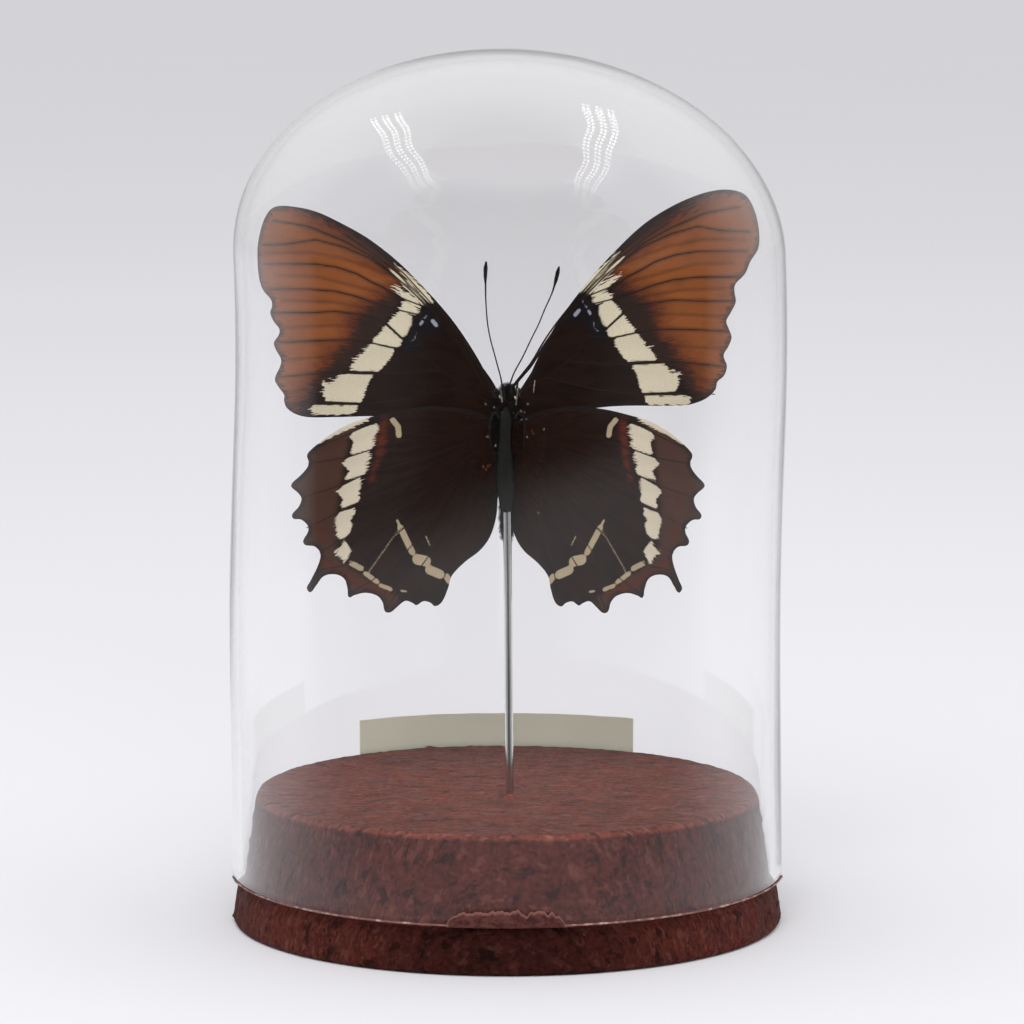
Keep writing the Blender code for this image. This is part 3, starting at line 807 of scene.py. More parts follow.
# %% [markdown]
# ## Measuring a drawing
# A material can only draw a crisp, feathered edge if it knows how far each point is from the
# edge. So each point of the wing's mesh stores a few distances in millimetres: to the cream
# cells, the small spots, the rust field, the nearest vein, the nearest fold and the margin. The
# shader later adds streaky noise to a distance and cuts it, which gives the brushed edges that
# rows of scales have. Painting the marks as separate faces would leave hard, flat edges.

# %% Distances from a drawing
def line_distance(points, line, closed=False):
    """Shortest distance from each (N, 2) point to a line of straight runs."""
    line = np.array(line, float)
    ends = np.roll(line, -1, axis=0) if closed else line[1:]
    starts = line if closed else line[:-1]
    best = np.full(len(points), 1e3)
    for start, end in zip(starts, ends):
        run = end - start
        share = np.clip((points - start) @ run / max(run @ run, 1e-9), 0, 1)
        best = np.minimum(best, np.hypot(*(points - start - share[:, None] * run).T))
    return best


def patch_depth(points, outline):
    """Distance to a closed outline, above zero inside it."""
    line = np.array(outline, float)
    inside = np.zeros(len(points), bool)
    for (x0, z0), (x1, z1) in zip(line, np.roll(line, -1, axis=0)):
        crosses = (z0 > points[:, 1]) != (z1 > points[:, 1])
        at = x0 + (points[:, 1] - z0) * (x1 - x0) / ((z1 - z0) or 1e-9)
        inside ^= crosses & (points[:, 0] < at)
    return np.where(inside, 1, -1) * line_distance(points, line, closed=True)


def deepest(points, patches=(), strokes=()):
    """The largest depth in any of the patches and pen strokes."""
    depths = [patch_depth(points, patch) for patch in patches]
    depths += [width - line_distance(points, line) for line, width in strokes]
    return np.max(depths, axis=0)


def nearest(points, lines):
    return np.min([line_distance(points, line) for line in lines], axis=0)


# %% [markdown]
# ## The wings: mesh
# The outline becomes one many-sided face. `bisect_plane` slices it into a fine net, first in
# columns and then in rows, because a single face couldn't bend. `extrude_face_region` gives the
# net its second skin and the wall at the edge, and each vein is swept through the middle of the
# sheet so that it stands proud on both sides. At the end the flat drawing is bent to the way the
# wing was set, pleats and all.

# %% Wing building
WING_PLANE = -4.0
WING_RAKE = math.radians(8.0)
WING_LAYER = 0.35
WING_CAMBER = 0.7
WING_SPAN = 38.0
WING_ROOT_HEIGHT = 76.0
WING_SKIN = 0.13
WING_NET = 0.27
ROOT_REACH = 0.7
TUCK_HEIGHT, TUCK_RISE = 62.5, 2.5
TUCK_REACH, TUCK_WIDTH, TUCK_DEPTH = 1.35, 2.2, 1.1
RIGHT_SCALE = np.array([[0.965, 0.0717], [0.0094, 1.017]])
RIGHT_SHIFT = np.array([-0.758, 1.23])
RIGHT_FOOT = np.array([0.0, 78.0])
AS_DRAWN = (1.0, 0.0, 0.0)
TUCKED_IN = (0.934, 0.08, 0.42)


def from_left_forewing(points):
    """Moves points of the left drawing to where the right forewing has them."""
    return (np.array(points) - RIGHT_FOOT) @ RIGHT_SCALE.T + RIGHT_SHIFT + RIGHT_FOOT


def to_left_forewing(points):
    """The way back, because the marks are on the left drawing."""
    return (points - RIGHT_FOOT - RIGHT_SHIFT) @ np.linalg.inv(RIGHT_SCALE).T + RIGHT_FOOT


def wing_sheet(outline):
    """The outline as a netted sheet with two skins, flat in the drawing plane."""
    bm = bmesh.new()
    bm.faces.new([bm.verts.new((p.x, 0.0, p.y)) for p in smooth_line(outline, 6, closed=True)])
    for across, first, last in ((Vector((1, 0, 0)), 0.0, WING_SPAN),
                                (Vector((0, 0, 1)), 44.0, 108.0)):
        for i in range(1, int((last - first) / WING_NET)):
            bmesh.ops.bisect_plane(bm, geom=bm.verts[:] + bm.edges[:] + bm.faces[:], dist=1e-5,
                                   plane_co=across * (first + i * WING_NET), plane_no=across)
    bmesh.ops.translate(bm, vec=(0, -WING_SKIN / 2, 0), verts=bm.verts)
    grown = bmesh.ops.extrude_face_region(bm, geom=bm.faces[:])["geom"]
    bmesh.ops.translate(bm, vec=(0, WING_SKIN, 0),
                        verts=[g for g in grown if isinstance(g, bmesh.types.BMVert)])
    bmesh.ops.recalc_face_normals(bm, faces=bm.faces)
    return bm


def add_veins(bm, veins):
    """Sweeps each vein through the middle of the sheet, thick at the root and thin at the edge."""
    rods = bmesh.new()
    for vein in veins:
        route = [Vector((p.x, 0.0, p.y)) for p in smooth_line(vein, 8)]
        sweep(rods, route, spread([0.15, 0.125, 0.10, 0.08], len(route)), sides=6)
    bmesh.ops.recalc_face_normals(rods, faces=rods.faces)
    held = to_mesh("veins", rods)
    bm.from_mesh(held)
    bpy.data.meshes.remove(held)


def wing_layers(flat, marks, kind):
    """The distances that the wing's finish needs, one list for each."""
    band, spots, rust, beyond, veins, folds, centre = kind
    away = marks - np.array(centre)
    return {
        "cream": deepest(marks, patches=band), "spots": deepest(marks, strokes=spots),
        "rust": rust(marks), "beyond": patch_depth(marks, beyond),
        "vein": nearest(marks, veins), "fold": nearest(marks, folds),
        "reach": np.hypot(*away.T), "fan": 40 * np.arctan2(away[:, 1], away[:, 0]),
        "upper": (flat[:, 1] > 0).astype(float)}


def set_wing(flat, pleat, side, layer, setting):
    """Bends the flat drawing to where the wing was set. Returns places in metres."""
    reach_scale, lean, shift = setting
    height = flat[:, 2]
    out = reach_scale * flat[:, 0] + lean * (height - WING_ROOT_HEIGHT) + shift
    tuck = (np.clip((height - TUCK_HEIGHT) / TUCK_RISE, 0, 1)
            * np.clip(1 - (out - TUCK_REACH) / TUCK_WIDTH, 0, 1))
    out = np.maximum(out - TUCK_DEPTH * tuck, ROOT_REACH)
    bow = WING_CAMBER * np.sin(np.pi * out / WING_SPAN)
    wave = np.array([noise.noise(Vector((x / 7 + 9 * side, z / 7, layer))) for x, z in
                     flat[:, (0, 2)]])
    lift = flat[:, 1] + pleat + 0.22 * wave * np.clip(out / 8 - 0.3, 0, 1)
    return MM * np.stack([
        side * (out * math.cos(WING_RAKE) - bow * math.sin(WING_RAKE)),
        WING_PLANE + layer + out * math.sin(WING_RAKE) - bow * math.cos(WING_RAKE) + lift,
        height], axis=1)


def make_wing(name, outline, side, layer, setting, kind, material, mark_map=None):
    """One wing, from outline to finished piece."""
    bm = wing_sheet(outline)
    veins = kind[4]
    add_veins(bm, [from_left_forewing(v) for v in veins] if mark_map else veins)
    mesh = to_mesh(name + "_scaled", bm)
    flat = np.zeros(len(mesh.vertices) * 3)
    mesh.vertices.foreach_get("co", flat)
    flat = flat.reshape(-1, 3)
    drawn = flat[:, (0, 2)]
    layers = wing_layers(flat, mark_map(drawn) if mark_map else drawn, kind)
    edge = [tuple(p) for p in smooth_line(outline, 3, closed=True)]
    layers["margin"] = line_distance(drawn, edge, closed=True)
    flat[:, 1] *= np.clip(0.3 + layers["margin"] / 0.5, 0.3, 1.0)
    share = layers["vein"] / (layers["vein"] + layers["fold"] + 1e-6)
    pleat = -0.09 * np.cos(np.pi * share) * np.clip(layers["margin"] / 2, 0, 1)
    mesh.vertices.foreach_set("co", set_wing(flat, pleat, side, layer, setting).ravel())
    for title, values in layers.items():
        mesh.attributes.new(title, "FLOAT", "POINT").data.foreach_set("value", values)
    if side < 0:
        mesh.flip_normals()
    mesh.update()
    smooth_faces(mesh, 50)
    return tie_in(name + "_scaled", mesh, material, [name])


# %% [markdown]
# ## Wing scales
# Scales lie like roof tiles in rows from root to edge, so every blotch on a wing is drawn out
# along that line. The group `scale_rows` makes the two streaky noises that both finishes share,
# one coarse for feathered edges and one fine for the tiles themselves. Each material then lays
# its colours one over another: ground, field beyond the band, rust, cream cells, small spots,
# veins and margin. The upper side has the same band and field without the small marks.

# %% Wing finishes
def build_scale_rows():
    tree, (inputs, outputs) = new_group(
        "scale_rows", {"Reach": "value", "Fan": "value", "Side": "value"},
        {"Feather": "value", "Tiles": "value", "Mottle": "value"})
    place = wire(tree, "CombineXYZ", {0: inputs["Reach"], 1: inputs["Fan"],
                                      2: inputs["Side"]}).outputs[0]
    for title, scale, detail in (("Feather", (0.7, 4.2, 3.0), 2.0),
                                 ("Tiles", (5.0, 11.0, 3.0), 2.0),
                                 ("Mottle", (0.25, 0.55, 3.0), 3.0)):
        tree.links.new(streaky(tree, place, scale, detail), outputs[title])
    return tree


scale_rows = build_scale_rows()


def wing_finish(name, ground, mottle, beyond, rust, cream, spot, rust_soft, feather, patch=None):
    """Scales in this wing's colours. rust_soft is the width of the rust field's soft edge."""
    material, tree, shader = new_finish(name, Specular_IOR_Level=0.12)
    side = blend_range(tree, axis(tree, object_place(tree), "X"), -0.0001, 0.0001, 0.0, 7.0)
    rows = use_group(tree, scale_rows, {"Reach": layer_value(tree, "reach"),
                                        "Fan": layer_value(tree, "fan"), "Side": side})
    off_vein = blend_range(tree, layer_value(tree, "vein"), 0.1, 0.6, 0.1, 1.0)
    outer_side = blend_range(tree, layer_value(tree, "rust"), -3.2, -1.4, 0.4, 1.0)
    brush = times(tree, sum_up(tree, "SUBTRACT", rows["Feather"], 0.5), feather, off_vein, outer_side)
    under = blend_range(tree, layer_value(tree, "upper"), 0.4, 0.6, 1.0, 0.0)

    def field(title, soft, shift=0.0, brushed=1.0):
        depth = sum_up(tree, "ADD", layer_value(tree, title), shift)
        depth = sum_up(tree, "MULTIPLY_ADD", brush, brushed, depth)
        return blend_range(tree, depth, -soft, soft)

    colour = tint(tree, blend_range(tree, rows["Mottle"], 0.35, 0.65), ground, mottle)
    colour = tint(tree, field("beyond", 0.5, brushed=1.5), colour, beyond)
    blotched = blend_range(tree, rows["Mottle"], 0.2, 0.5, 0.75, 1.0)
    fold_shade = blend_range(tree, layer_value(tree, "fold"), 0.0, 0.5, 0.62, 1.0)
    vein_shade = blend_range(tree, layer_value(tree, "vein"), 0.12, 0.55, 0.6, 1.0)
    rust_field = times(tree, field("rust", rust_soft, brushed=1.6), blotched, fold_shade, vein_shade)
    inner_rust = [share * part for share, part in zip((0.42, 0.30, 0.32), rust)]
    deep = tint(tree, field("rust", 2.2, shift=-1.6), inner_rust, rust)
    colour = tint(tree, rust_field, colour, deep)
    edge = sum_up(tree, "ADD", layer_value(tree, "margin"), brush)
    colour = tint(tree, blend_range(tree, edge, 0.3, 0.85, 0.8, 0.0), colour, (0.012, 0.0085, 0.008))
    colour = tint(tree, field("cream", 0.09, shift=0.10), colour, cream)
    if patch:
        colour = tint(tree, field("spots", 0.45, shift=0.95), colour, patch)
    trim = -0.06 if patch else 0.05
    marks = times(tree, field("spots", 0.08, shift=trim, brushed=0.12), under)
    colour = tint(tree, marks, colour, spot)
    vein = blend_range(tree, layer_value(tree, "vein"), 0.06, 0.17, 0.9, 0.0)
    colour = tint(tree, vein, colour, (0.014, 0.007, 0.005))
    tiles = blend_range(tree, rows["Tiles"], 0.3, 0.7, 0.80, 1.22)
    grey = wire(tree, "CombineColor", {0: tiles, 1: tiles, 2: tiles}).outputs[0]
    colour = tint(tree, 1.0, colour, grey, blend="MULTIPLY")
    plug(tree, shader, Base_Color=colour, Roughness=blend_range(tree, rows["Tiles"], 0, 1, 0.5, 0.72),
         Normal=relief(tree, rows["Tiles"], 0.00006, 0.7))
    return material


forewing_finish = wing_finish(
    "forewing_scales", ground=(0.0085, 0.0032, 0.0014), mottle=(0.0135, 0.0048, 0.0019),
    beyond=(0.022, 0.0100, 0.0062), rust=(0.222, 0.064, 0.0135), cream=(0.56, 0.495, 0.365),
    spot=(0.26, 0.26, 0.30), rust_soft=0.9, feather=3.0, patch=(0.006, 0.005, 0.0065))
hindwing_finish = wing_finish(
    "hindwing_scales", ground=(0.0095, 0.0032, 0.0013), mottle=(0.0165, 0.0055, 0.0022),
    beyond=(0.055, 0.0215, 0.0125), rust=(0.165, 0.034, 0.0100), cream=(0.57, 0.50, 0.385),
    spot=(0.36, 0.29, 0.19), rust_soft=0.35, feather=2.2)

FOREWING = (FOREWING_BAND, FOREWING_SPOTS, lambda p: patch_depth(p, FOREWING_RUST),
            FOREWING_BEYOND, FOREWING_VEINS, FOREWING_FOLDS, (-15.0, 80.0))
HIND = (HINDWING_BAND, HINDWING_STROKES, lambda p: deepest(p, strokes=HINDWING_STRIPE),
        HINDWING_BEYOND, HINDWING_VEINS, HINDWING_FOLDS, (0.0, 72.0))
make_wing("left_forewing", LEFT_FOREWING, -1, WING_LAYER, AS_DRAWN, FOREWING, forewing_finish)
make_wing("right_forewing", RIGHT_FOREWING, 1, WING_LAYER, AS_DRAWN, FOREWING, forewing_finish,
          mark_map=to_left_forewing)
make_wing("left_hindwing", HINDWING, -1, -WING_LAYER, AS_DRAWN, HIND, hindwing_finish)
make_wing("right_hindwing", HINDWING, 1, -WING_LAYER, TUCKED_IN, HIND, hindwing_finish)

# %% [markdown]
# ## Hair
# Down on a butterfly is thousands of tiny tapered bristles. One bristle is swept once with three
# sides, and arrays then place copies of its points, each with its own length, lean and bend.
# Blender's hair curves would look the same here, but they don't survive an export to a mesh.
# `seeded_spots` throws random points over a piece's faces, so the hair grows from the real skin.

# %% Bristles
def bristle_template():
    """A thin cone of unit height that leans over at its tip, as point and face arrays."""
    bm = bmesh.new()
    sweep(bm, [Vector((0, 0, 0)), Vector((0.10, 0, 0.45)), Vector((0.38, 0, 0.9))],
          [1.0, 0.75, 0.12], sides=3)
    bmesh.ops.recalc_face_normals(bm, faces=bm.faces)
    bmesh.ops.triangulate(bm, faces=bm.faces)
    points = np.array([v.co for v in bm.verts])
    faces = np.array([[v.index for v in f.verts] for f in bm.faces])
    bm.free()
    return points, faces


def seeded_spots(piece, count, seed, keep=lambda place: True):
    """Random (place, normal) pairs in millimetres, spread evenly over a piece's faces."""
    mesh = piece.data
    draw = random.Random(seed)
    polygons = [p for p in mesh.polygons if keep(p.center / MM)]
    picks = draw.choices(polygons, weights=[p.area for p in polygons], k=count)
    spots = []
    for polygon in picks:
        corners = [mesh.vertices[i].co for i in polygon.vertices]
        shares = [draw.random() for _ in corners]
        place = sum((c * s for c, s in zip(corners, shares)), Vector()) / sum(shares)
        spots.append((place / MM, polygon.normal.copy()))
    return spots


def grow_hair(name, spots, comb, length, thick, material, seed, lift=0.5, wild=0.25):
    """One bristle for each spot, leaning from the skin towards the comb direction."""
    base, faces = bristle_template()
    draw = random.Random(seed)
    sheets = []
    for place, normal in spots:
        lean = Vector(comb(place)) + Vector([draw.uniform(-wild, wild) for _ in range(3)])
        up = (normal * lift + lean * (1 - lift)).normalized()
        side = up.cross(normal if abs(up.dot(normal)) < 0.98 else Vector((1, 0.3, 0.2))).normalized()
        over = side.cross(up)
        tall = draw.uniform(*length)
        wide = draw.uniform(*thick)
        shape = base * np.array([1, 1, tall])
        bend = base[:, 2:] ** 2 * 0.4 * tall
        local = np.concatenate([shape[:, :2] * wide + bend * [1, 0], shape[:, 2:]], axis=1)
        sheets.append(local @ np.array([over, side, up]) + np.array(place))
    points = np.concatenate(sheets) * MM
    steps = (np.arange(len(spots)) * len(base))[:, None, None]
    mesh = bpy.data.meshes.new(name)
    mesh.from_pydata(points.tolist(), [], (faces[None] + steps).reshape(-1, 3).tolist())
    mesh.shade_smooth()
    tie_in(name, mesh, material, [])


# %% [markdown]
# ## The body
# Thorax, abdomen and head are small, dark and furry, pressed against the glue on the rod. Each is
# a round form pushed about with noise, so that it reads as a dried insect and not as a ball. The
# abdomen is a spin with a waist between its rings. Eyes carry the fine facets of a compound eye,
# and the mouth feelers have the pale line that this butterfly shows on its face.

# %% Body finishes
def fur_finish(name, dark, light, roughness=0.9):
    material, tree, shader = new_finish(name, Roughness=roughness, Specular_IOR_Level=0.12)
    place = object_place(tree)
    tufts = cloud(tree, place, 900.0, 3.0, 0.6)
    plug(tree, shader, Base_Color=tint(tree, blend_range(tree, tufts, 0.45, 0.7), dark, light),
         Normal=relief(tree, streaky(tree, place, (9000, 9000, 2500)), 0.00005))
    return material


def horn_finish(name, dark, sheen_spots, roughness):
    material, tree, shader = new_finish(name, Specular_IOR_Level=0.45)
    place = object_place(tree)
    facets = wire(tree, "TexVoronoi", {"Vector": place, "Scale": 9000.0}).outputs["Distance"]
    # Painted sheen: lighter patches of colour stand for sheen, and the same noise makes the surface
    # rougher there.
    sheen_and_wear = cloud(tree, place, 1500.0)
    plug(tree, shader, Base_Color=tint(tree, blend_range(tree, sheen_and_wear, 0.5, 0.75), dark, sheen_spots),
         Roughness=blend_range(tree, sheen_and_wear, 0.3, 0.7, roughness, roughness + 0.25),
         Normal=relief(tree, facets, 0.00003, 0.8))
    return material


body_fur = fur_finish("body_fur", (0.008, 0.006, 0.005), (0.026, 0.016, 0.010))
rust_hair = fur_finish("rust_hair", (0.055, 0.014, 0.005), (0.11, 0.032, 0.010))
dark_horn = horn_finish("dark_horn", (0.007, 0.006, 0.0055), (0.022, 0.016, 0.012), 0.38)
eye_horn = horn_finish("eye_horn", (0.012, 0.008, 0.007), (0.040, 0.026, 0.022), 0.16)


# %% Thorax, head and abdomen
def push_about(bm, size, depth, seed):
    """Moves each point along its normal by a slow noise."""
    bm.normal_update()
    for vert in bm.verts:
        vert.co += vert.normal * depth * noise.noise(vert.co / size + Vector((seed, 0, 0)))


def rounded(centre, half_size, segments, rings):
    bm = bmesh.new()
    bmesh.ops.create_uvsphere(bm, u_segments=segments, v_segments=rings, radius=1.0)
    bmesh.ops.scale(bm, vec=half_size, verts=bm.verts)
    bmesh.ops.translate(bm, vec=centre, verts=bm.verts)
    return bm


bm = rounded((0.0, -4.7, 72.7), (1.75, 1.45, 4.2), 48, 40)
collar_place = Matrix.Translation((0, -4.9, 75.9)) @ Matrix.Diagonal((1.9, 1.3, 1.35, 1))
bmesh.ops.create_uvsphere(bm, u_segments=40, v_segments=24, radius=1.0, matrix=collar_place)
push_about(bm, 1.1, 0.28, 3.0)
thorax = hand_in("furry_thorax", bm, body_fur, ["thorax"])
bm = rounded((0.0, -5.0, 77.95), (0.85, 0.95, 0.95), 32, 24)
push_about(bm, 0.6, 0.12, 5.0)
head = hand_in("furry_head", bm, body_fur, ["head"])


def make_abdomen(top=68.4, tail=56.3, girth=0.98, depth=-5.15, rings=9, cuts=8):
    profile = []
    count = rings * cuts
    for i in range(count + 1):
        along = 2 * i / count - 1
        swell = (1 - along ** 6) ** 0.5
        waist = 1.0 - 0.07 * (1 - abs(math.sin(math.pi * i / cuts))) ** 2
        profile.append((girth * swell * waist, top + (tail - top) * i / count))
    bm = lathe(profile, 32)
    push_about(bm, 0.9, 0.10, 8.0)
    bmesh.ops.translate(bm, vec=(0.0, depth, 0), verts=bm.verts)
    return hand_in("ringed_abdomen", bm, body_fur, ["abdomen"])


abdomen = make_abdomen()


# %% Down on the body
def upwards_and_out(place):
    return (0.25 * place.x, -0.15, 0.9 if place.z > 76 else -0.35)


def down_the_body(place):
    return (0.05 * place.x, 0.0, -1.0)


grow_hair("thorax_down", seeded_spots(thorax, 3600, 11), down_the_body, (0.5, 1.25), (0.02, 0.034),
          body_fur, 12, lift=0.42)
grow_hair("rusty_tufts", seeded_spots(thorax, 420, 12, lambda p: 0.7 < p.x < 2.6 and p.y < -5.2
                                      and 69.8 < p.z < 73.9), down_the_body, (0.7, 1.5),
          (0.024, 0.04), rust_hair, 13)
grow_hair("head_down", seeded_spots(head, 900, 21), upwards_and_out, (0.3, 0.8), (0.018, 0.03),
          body_fur, 22, lift=0.6)
grow_hair("abdomen_down", seeded_spots(abdomen, 2200, 31), down_the_body, (0.25, 0.6),
          (0.018, 0.03), body_fur, 32, lift=0.3)


def beside_body(low, high, reach):
    """Keeps the front faces of a wing close to the body between two heights."""
    return lambda p: low < p.z < high and abs(p.x) < reach and p.y < WING_PLANE + 1.2


for i, side_name in enumerate(("left", "right")):
    out = -1 if i == 0 else 1
    wing = bpy.data.objects[side_name + "_hindwing_scaled"]
    roots = seeded_spots(wing, 900, 41 + i, beside_body(59, 76, 5.2))
    grow_hair(side_name + "_wing_root_hair", roots, lambda p: (out * 0.8, -0.1, -0.7), (0.5, 1.4),
              (0.016, 0.028), rust_hair, 43 + i, lift=0.16, wild=0.15)


# %% Eyes, feelers, legs and antennae
def limb(route, sides=10, flat=1.0, steps=6, lumps=0.0):
    """A swept limb through (x, y, z, radius) points, with gentle lumps along it."""
    bm = bmesh.new()
    line = smooth_line([point[:3] for point in route], steps)
    radii = spread([point[3] for point in route], len(line))
    radii = [r * (1 + lumps * math.sin(i * 1.7)) for i, r in enumerate(radii)]
    sweep(bm, line, radii, sides=sides, flat=flat)
    return bm


for side, side_name in ((-1, "left"), (1, "right")):
    bm = rounded((side * 1.62, -5.0, 77.9), (0.5, 0.72, 0.78), 32, 24)
    hand_in(side_name + "_compound_eye", bm, eye_horn, [side_name + "_eye"])
    bm = limb([(side * 0.45, -6.35, 77.0, 0.18), (side * 0.5, -6.7, 77.8, 0.26),
               (side * 0.55, -6.6, 78.6, 0.2), (side * 0.62, -6.3, 79.3, 0.06)], flat=0.8, lumps=0.06)
    palp = hand_in(side_name + "_mouth_feeler", bm, dark_horn, [side_name + "_palp"])
    grow_hair(side_name + "_feeler_down", seeded_spots(palp, 260, 50 + side),
              lambda p: (0.0, -0.1, 1.0), (0.2, 0.5), (0.014, 0.022), body_fur, 52 + side)
    bm = limb([(side * 1.1, -6.35, 74.3, 0.16), (side * 1.7, -6.45, 75.2, 0.19),
               (side * 2.3, -6.2, 74.4, 0.17), (side * 2.5, -6.05, 72.4, 0.12),
               (side * 2.35, -5.95, 70.2, 0.06)], lumps=0.05)
    hand_in(side_name + "_folded_leg", bm, dark_horn, [side_name + "_leg"])

ANTENNAE = {
    "left": [(-0.7, -4.9, 78.9, 0.13), (-0.95, -4.8, 80.2, 0.10), (-1.3, -4.7, 81.5, 0.10),
             (-1.75, -4.6, 83.2, 0.095), (-2.4, -4.5, 85.6, 0.095), (-2.8, -4.4, 87.8, 0.095),
             (-3.05, -4.35, 91.0, 0.10), (-3.1, -4.3, 93.6, 0.13), (-3.12, -4.3, 94.6, 0.26),
             (-3.08, -4.3, 95.8, 0.31), (-3.0, -4.3, 96.75, 0.12)],
    "right": [(0.3, -4.9, 78.9, 0.13), (1.0, -4.85, 80.8, 0.10), (2.2, -4.7, 83.0, 0.10),
              (3.5, -4.6, 85.7, 0.095), (4.5, -4.5, 87.7, 0.095), (5.45, -4.4, 90.0, 0.095),
              (6.35, -4.35, 92.0, 0.10), (6.75, -4.3, 93.2, 0.14), (7.0, -4.3, 94.1, 0.27),
              (7.25, -4.3, 95.2, 0.30), (7.45, -4.3, 96.0, 0.12)]}
for side_name, route in ANTENNAE.items():
    hand_in(side_name + "_clubbed_antenna", limb(route, sides=12, steps=10, lumps=0.05), dark_horn,
            [side_name + "_antenna"])

# %% [markdown]
# ## Rod and glue
# The rod is ground and polished steel, bright enough to mirror the pale floor at its edges and the
# dark card down its middle. Fine draw lines run along it. Black glue was run down over its tip and
# pressed against the belly, and it set in a slightly lumpy column. Both are swept along the rod's own
# line.

# %% Rod and glue
def on_rod(height):
    return ROD_FOOT + ROD_LINE * ((height - ROD_FOOT.z) / ROD_LINE.z)


def polished_steel():
    material, tree, shader = new_finish("polished_steel", Metallic=1.0)
    place = object_place(tree)
    lines = streaky(tree, place, (9000, 9000, 60), 3.0)
    haze = cloud(tree, place, 240.0, 3.0)
    plug(tree, shader, Base_Color=tint(tree, haze, (0.66, 0.66, 0.65), (0.80, 0.80, 0.79)),
         Roughness=blend_range(tree, lines, 0.3, 0.7, 0.05, 0.16),
         Normal=relief(tree, lines, 0.00001, 0.5))
    return material


def dark_glue():
    material, tree, shader = new_finish("dark_glue", Specular_IOR_Level=0.2)
    place = object_place(tree)
    cloudy = cloud(tree, place, 500.0, 3.0)
    plug(tree, shader, Base_Color=tint(tree, cloudy, (0.006, 0.0068, 0.0058), (0.013, 0.014, 0.011)),
         Roughness=blend_range(tree, cloudy, 0.35, 0.65, 0.5, 0.7),
         Normal=relief(tree, cloudy, 0.0002, 0.5))
    return material


bm = bmesh.new()
rod_heights = [ROD_FOOT.z, 30.0, 60.0, ROD_TIP.z - 0.15, ROD_TIP.z]
sweep(bm, [on_rod(h) for h in rod_heights], [0.6, 0.6, 0.6, 0.6, 0.45], sides=40)
hand_in("polished_rod", bm, polished_steel(), ["support_rod"])

bm = bmesh.new()
glue_heights = np.linspace(61.0, 76.0, 60)
glue_radii = spread([0.62, 0.95, 1.12, 1.2, 1.22, 1.18, 1.08, 0.95, 0.84, 0.8, 0.8, 0.8, 0.72,
                     0.25], 60)
sweep(bm, [on_rod(h) + Vector((-0.25 * math.sin((h - 61) / 4.8), 0, 0)) for h in glue_heights],
      glue_radii, sides=28)
push_about(bm, 1.0, 0.12, 2.0)
hand_in("set_glue_column", bm, dark_glue(), ["glue_sleeve"])

# %% [markdown]
# ## Label
# A blank strip of cream card-weight paper, wrapped round the back of the tube. Its fibres and the
# slight waviness of its cut edge are all it shows, so it is a fine grid bent round the glass,
# made a sheet with `solidify`.

# %% Label
def label_paper():
    material, tree, shader = new_finish("label_paper", Roughness=0.82, Specular_IOR_Level=0.2)
    place = object_place(tree)
    fibre = streaky(tree, place, (1500, 1500, 4200), 4.0, 0.6)
    stain = cloud(tree, place, 60.0, 3.0)
    colour = tint(tree, fibre, (0.84, 0.79, 0.63), (0.93, 0.89, 0.72))
    colour = tint(tree, blend_range(tree, stain, 0.45, 0.75, 0.0, 0.4), colour, (0.76, 0.71, 0.55))
    plug(tree, shader, Base_Color=colour, Normal=relief(tree, fibre, 0.00006, 0.6))
    return material


def make_label(foot=7.8, height=16.0, left=-35.0, right=29.2, thickness=0.2):
    radius = RIM_RADIUS + 0.33
    bm = bmesh.new()
    bmesh.ops.create_grid(bm, x_segments=96, y_segments=34, size=0.5)
    for vert in bm.verts:
        turn = math.radians(left + (vert.co.x + 0.5) * (right - left))
        rise = vert.co.y + 0.5
        cut = 0.05 * noise.noise(Vector((turn * 12, 3.0, rise)))
        vert.co = (radius * math.sin(turn), radius * math.cos(turn), foot + cut + height * rise)
    bmesh.ops.recalc_face_normals(bm, faces=bm.faces)
    faces = bm.faces[:]
    outward = sum(1 for f in faces if f.normal.y > 0) > len(faces) / 2
    bmesh.ops.solidify(bm, geom=faces, thickness=-thickness if outward else thickness)
    return hand_in("wrapped_label", bm, label_paper(), ["paper_label"])


make_label()

# %% [markdown]
# ## Small leftovers
# A real specimen is never spotless. Crumbs of dried glue and dust sit beside the thorax and on the
# wings. Each is a small lump from `create_icosphere`, pushed out of round.

# %% Crumbs
CRUMBS = [
    (-3.08, 76.3, 0.2), (3.0, 76.3, 0.22), (2.0, 75.4, 0.2), (2.5, 75.1, 0.16), (2.8, 74.1, 0.17),
    (-2.8, 71.6, 0.2), (-1.65, 70.4, 0.18), (5.3, 72.65, 0.2), (2.86, 71.5, 0.17), (4.5, 60.5, 0.2),
    (-0.7, 75.2, 0.2), (-0.75, 74.7, 0.17), (0.35, 77.7, 0.12), (-1.9, 76.0, 0.17), (0.9, 75.2, 0.1)]
AMBER_CRUMBS = [(-3.4, 67.2, 0.2), (-2.7, 67.3, 0.26), (-3.0, 66.8, 0.2), (-2.4, 67.5, 0.16),
                (3.6, 72.4, 0.18), (3.75, 72.0, 0.15)]


def lumps(name, spots, material, depth):
    bm = bmesh.new()
    for i, (x, z, size) in enumerate(spots):
        grown = bmesh.ops.create_icosphere(bm, subdivisions=2, radius=size)["verts"]
        for vert in grown:
            vert.co *= 0.72 + 0.75 * noise.noise(vert.co / size * 1.1 + Vector((i * 3.1, 0, 0)))
        bmesh.ops.scale(bm, vec=(1.0, 0.6, 1.25), verts=grown)
        bmesh.ops.translate(bm, vec=(x, depth(x), z), verts=grown)
    return hand_in(name, bm, material, [])


def in_front_of_body(x):
    """How far forward the surface is beside the body."""
    reach = abs(x)
    if reach < 1.2:
        return -6.75
    if reach < 2.2:
        return -6.1
    return -4.75 - 0.25 * max(0, 3.4 - reach)


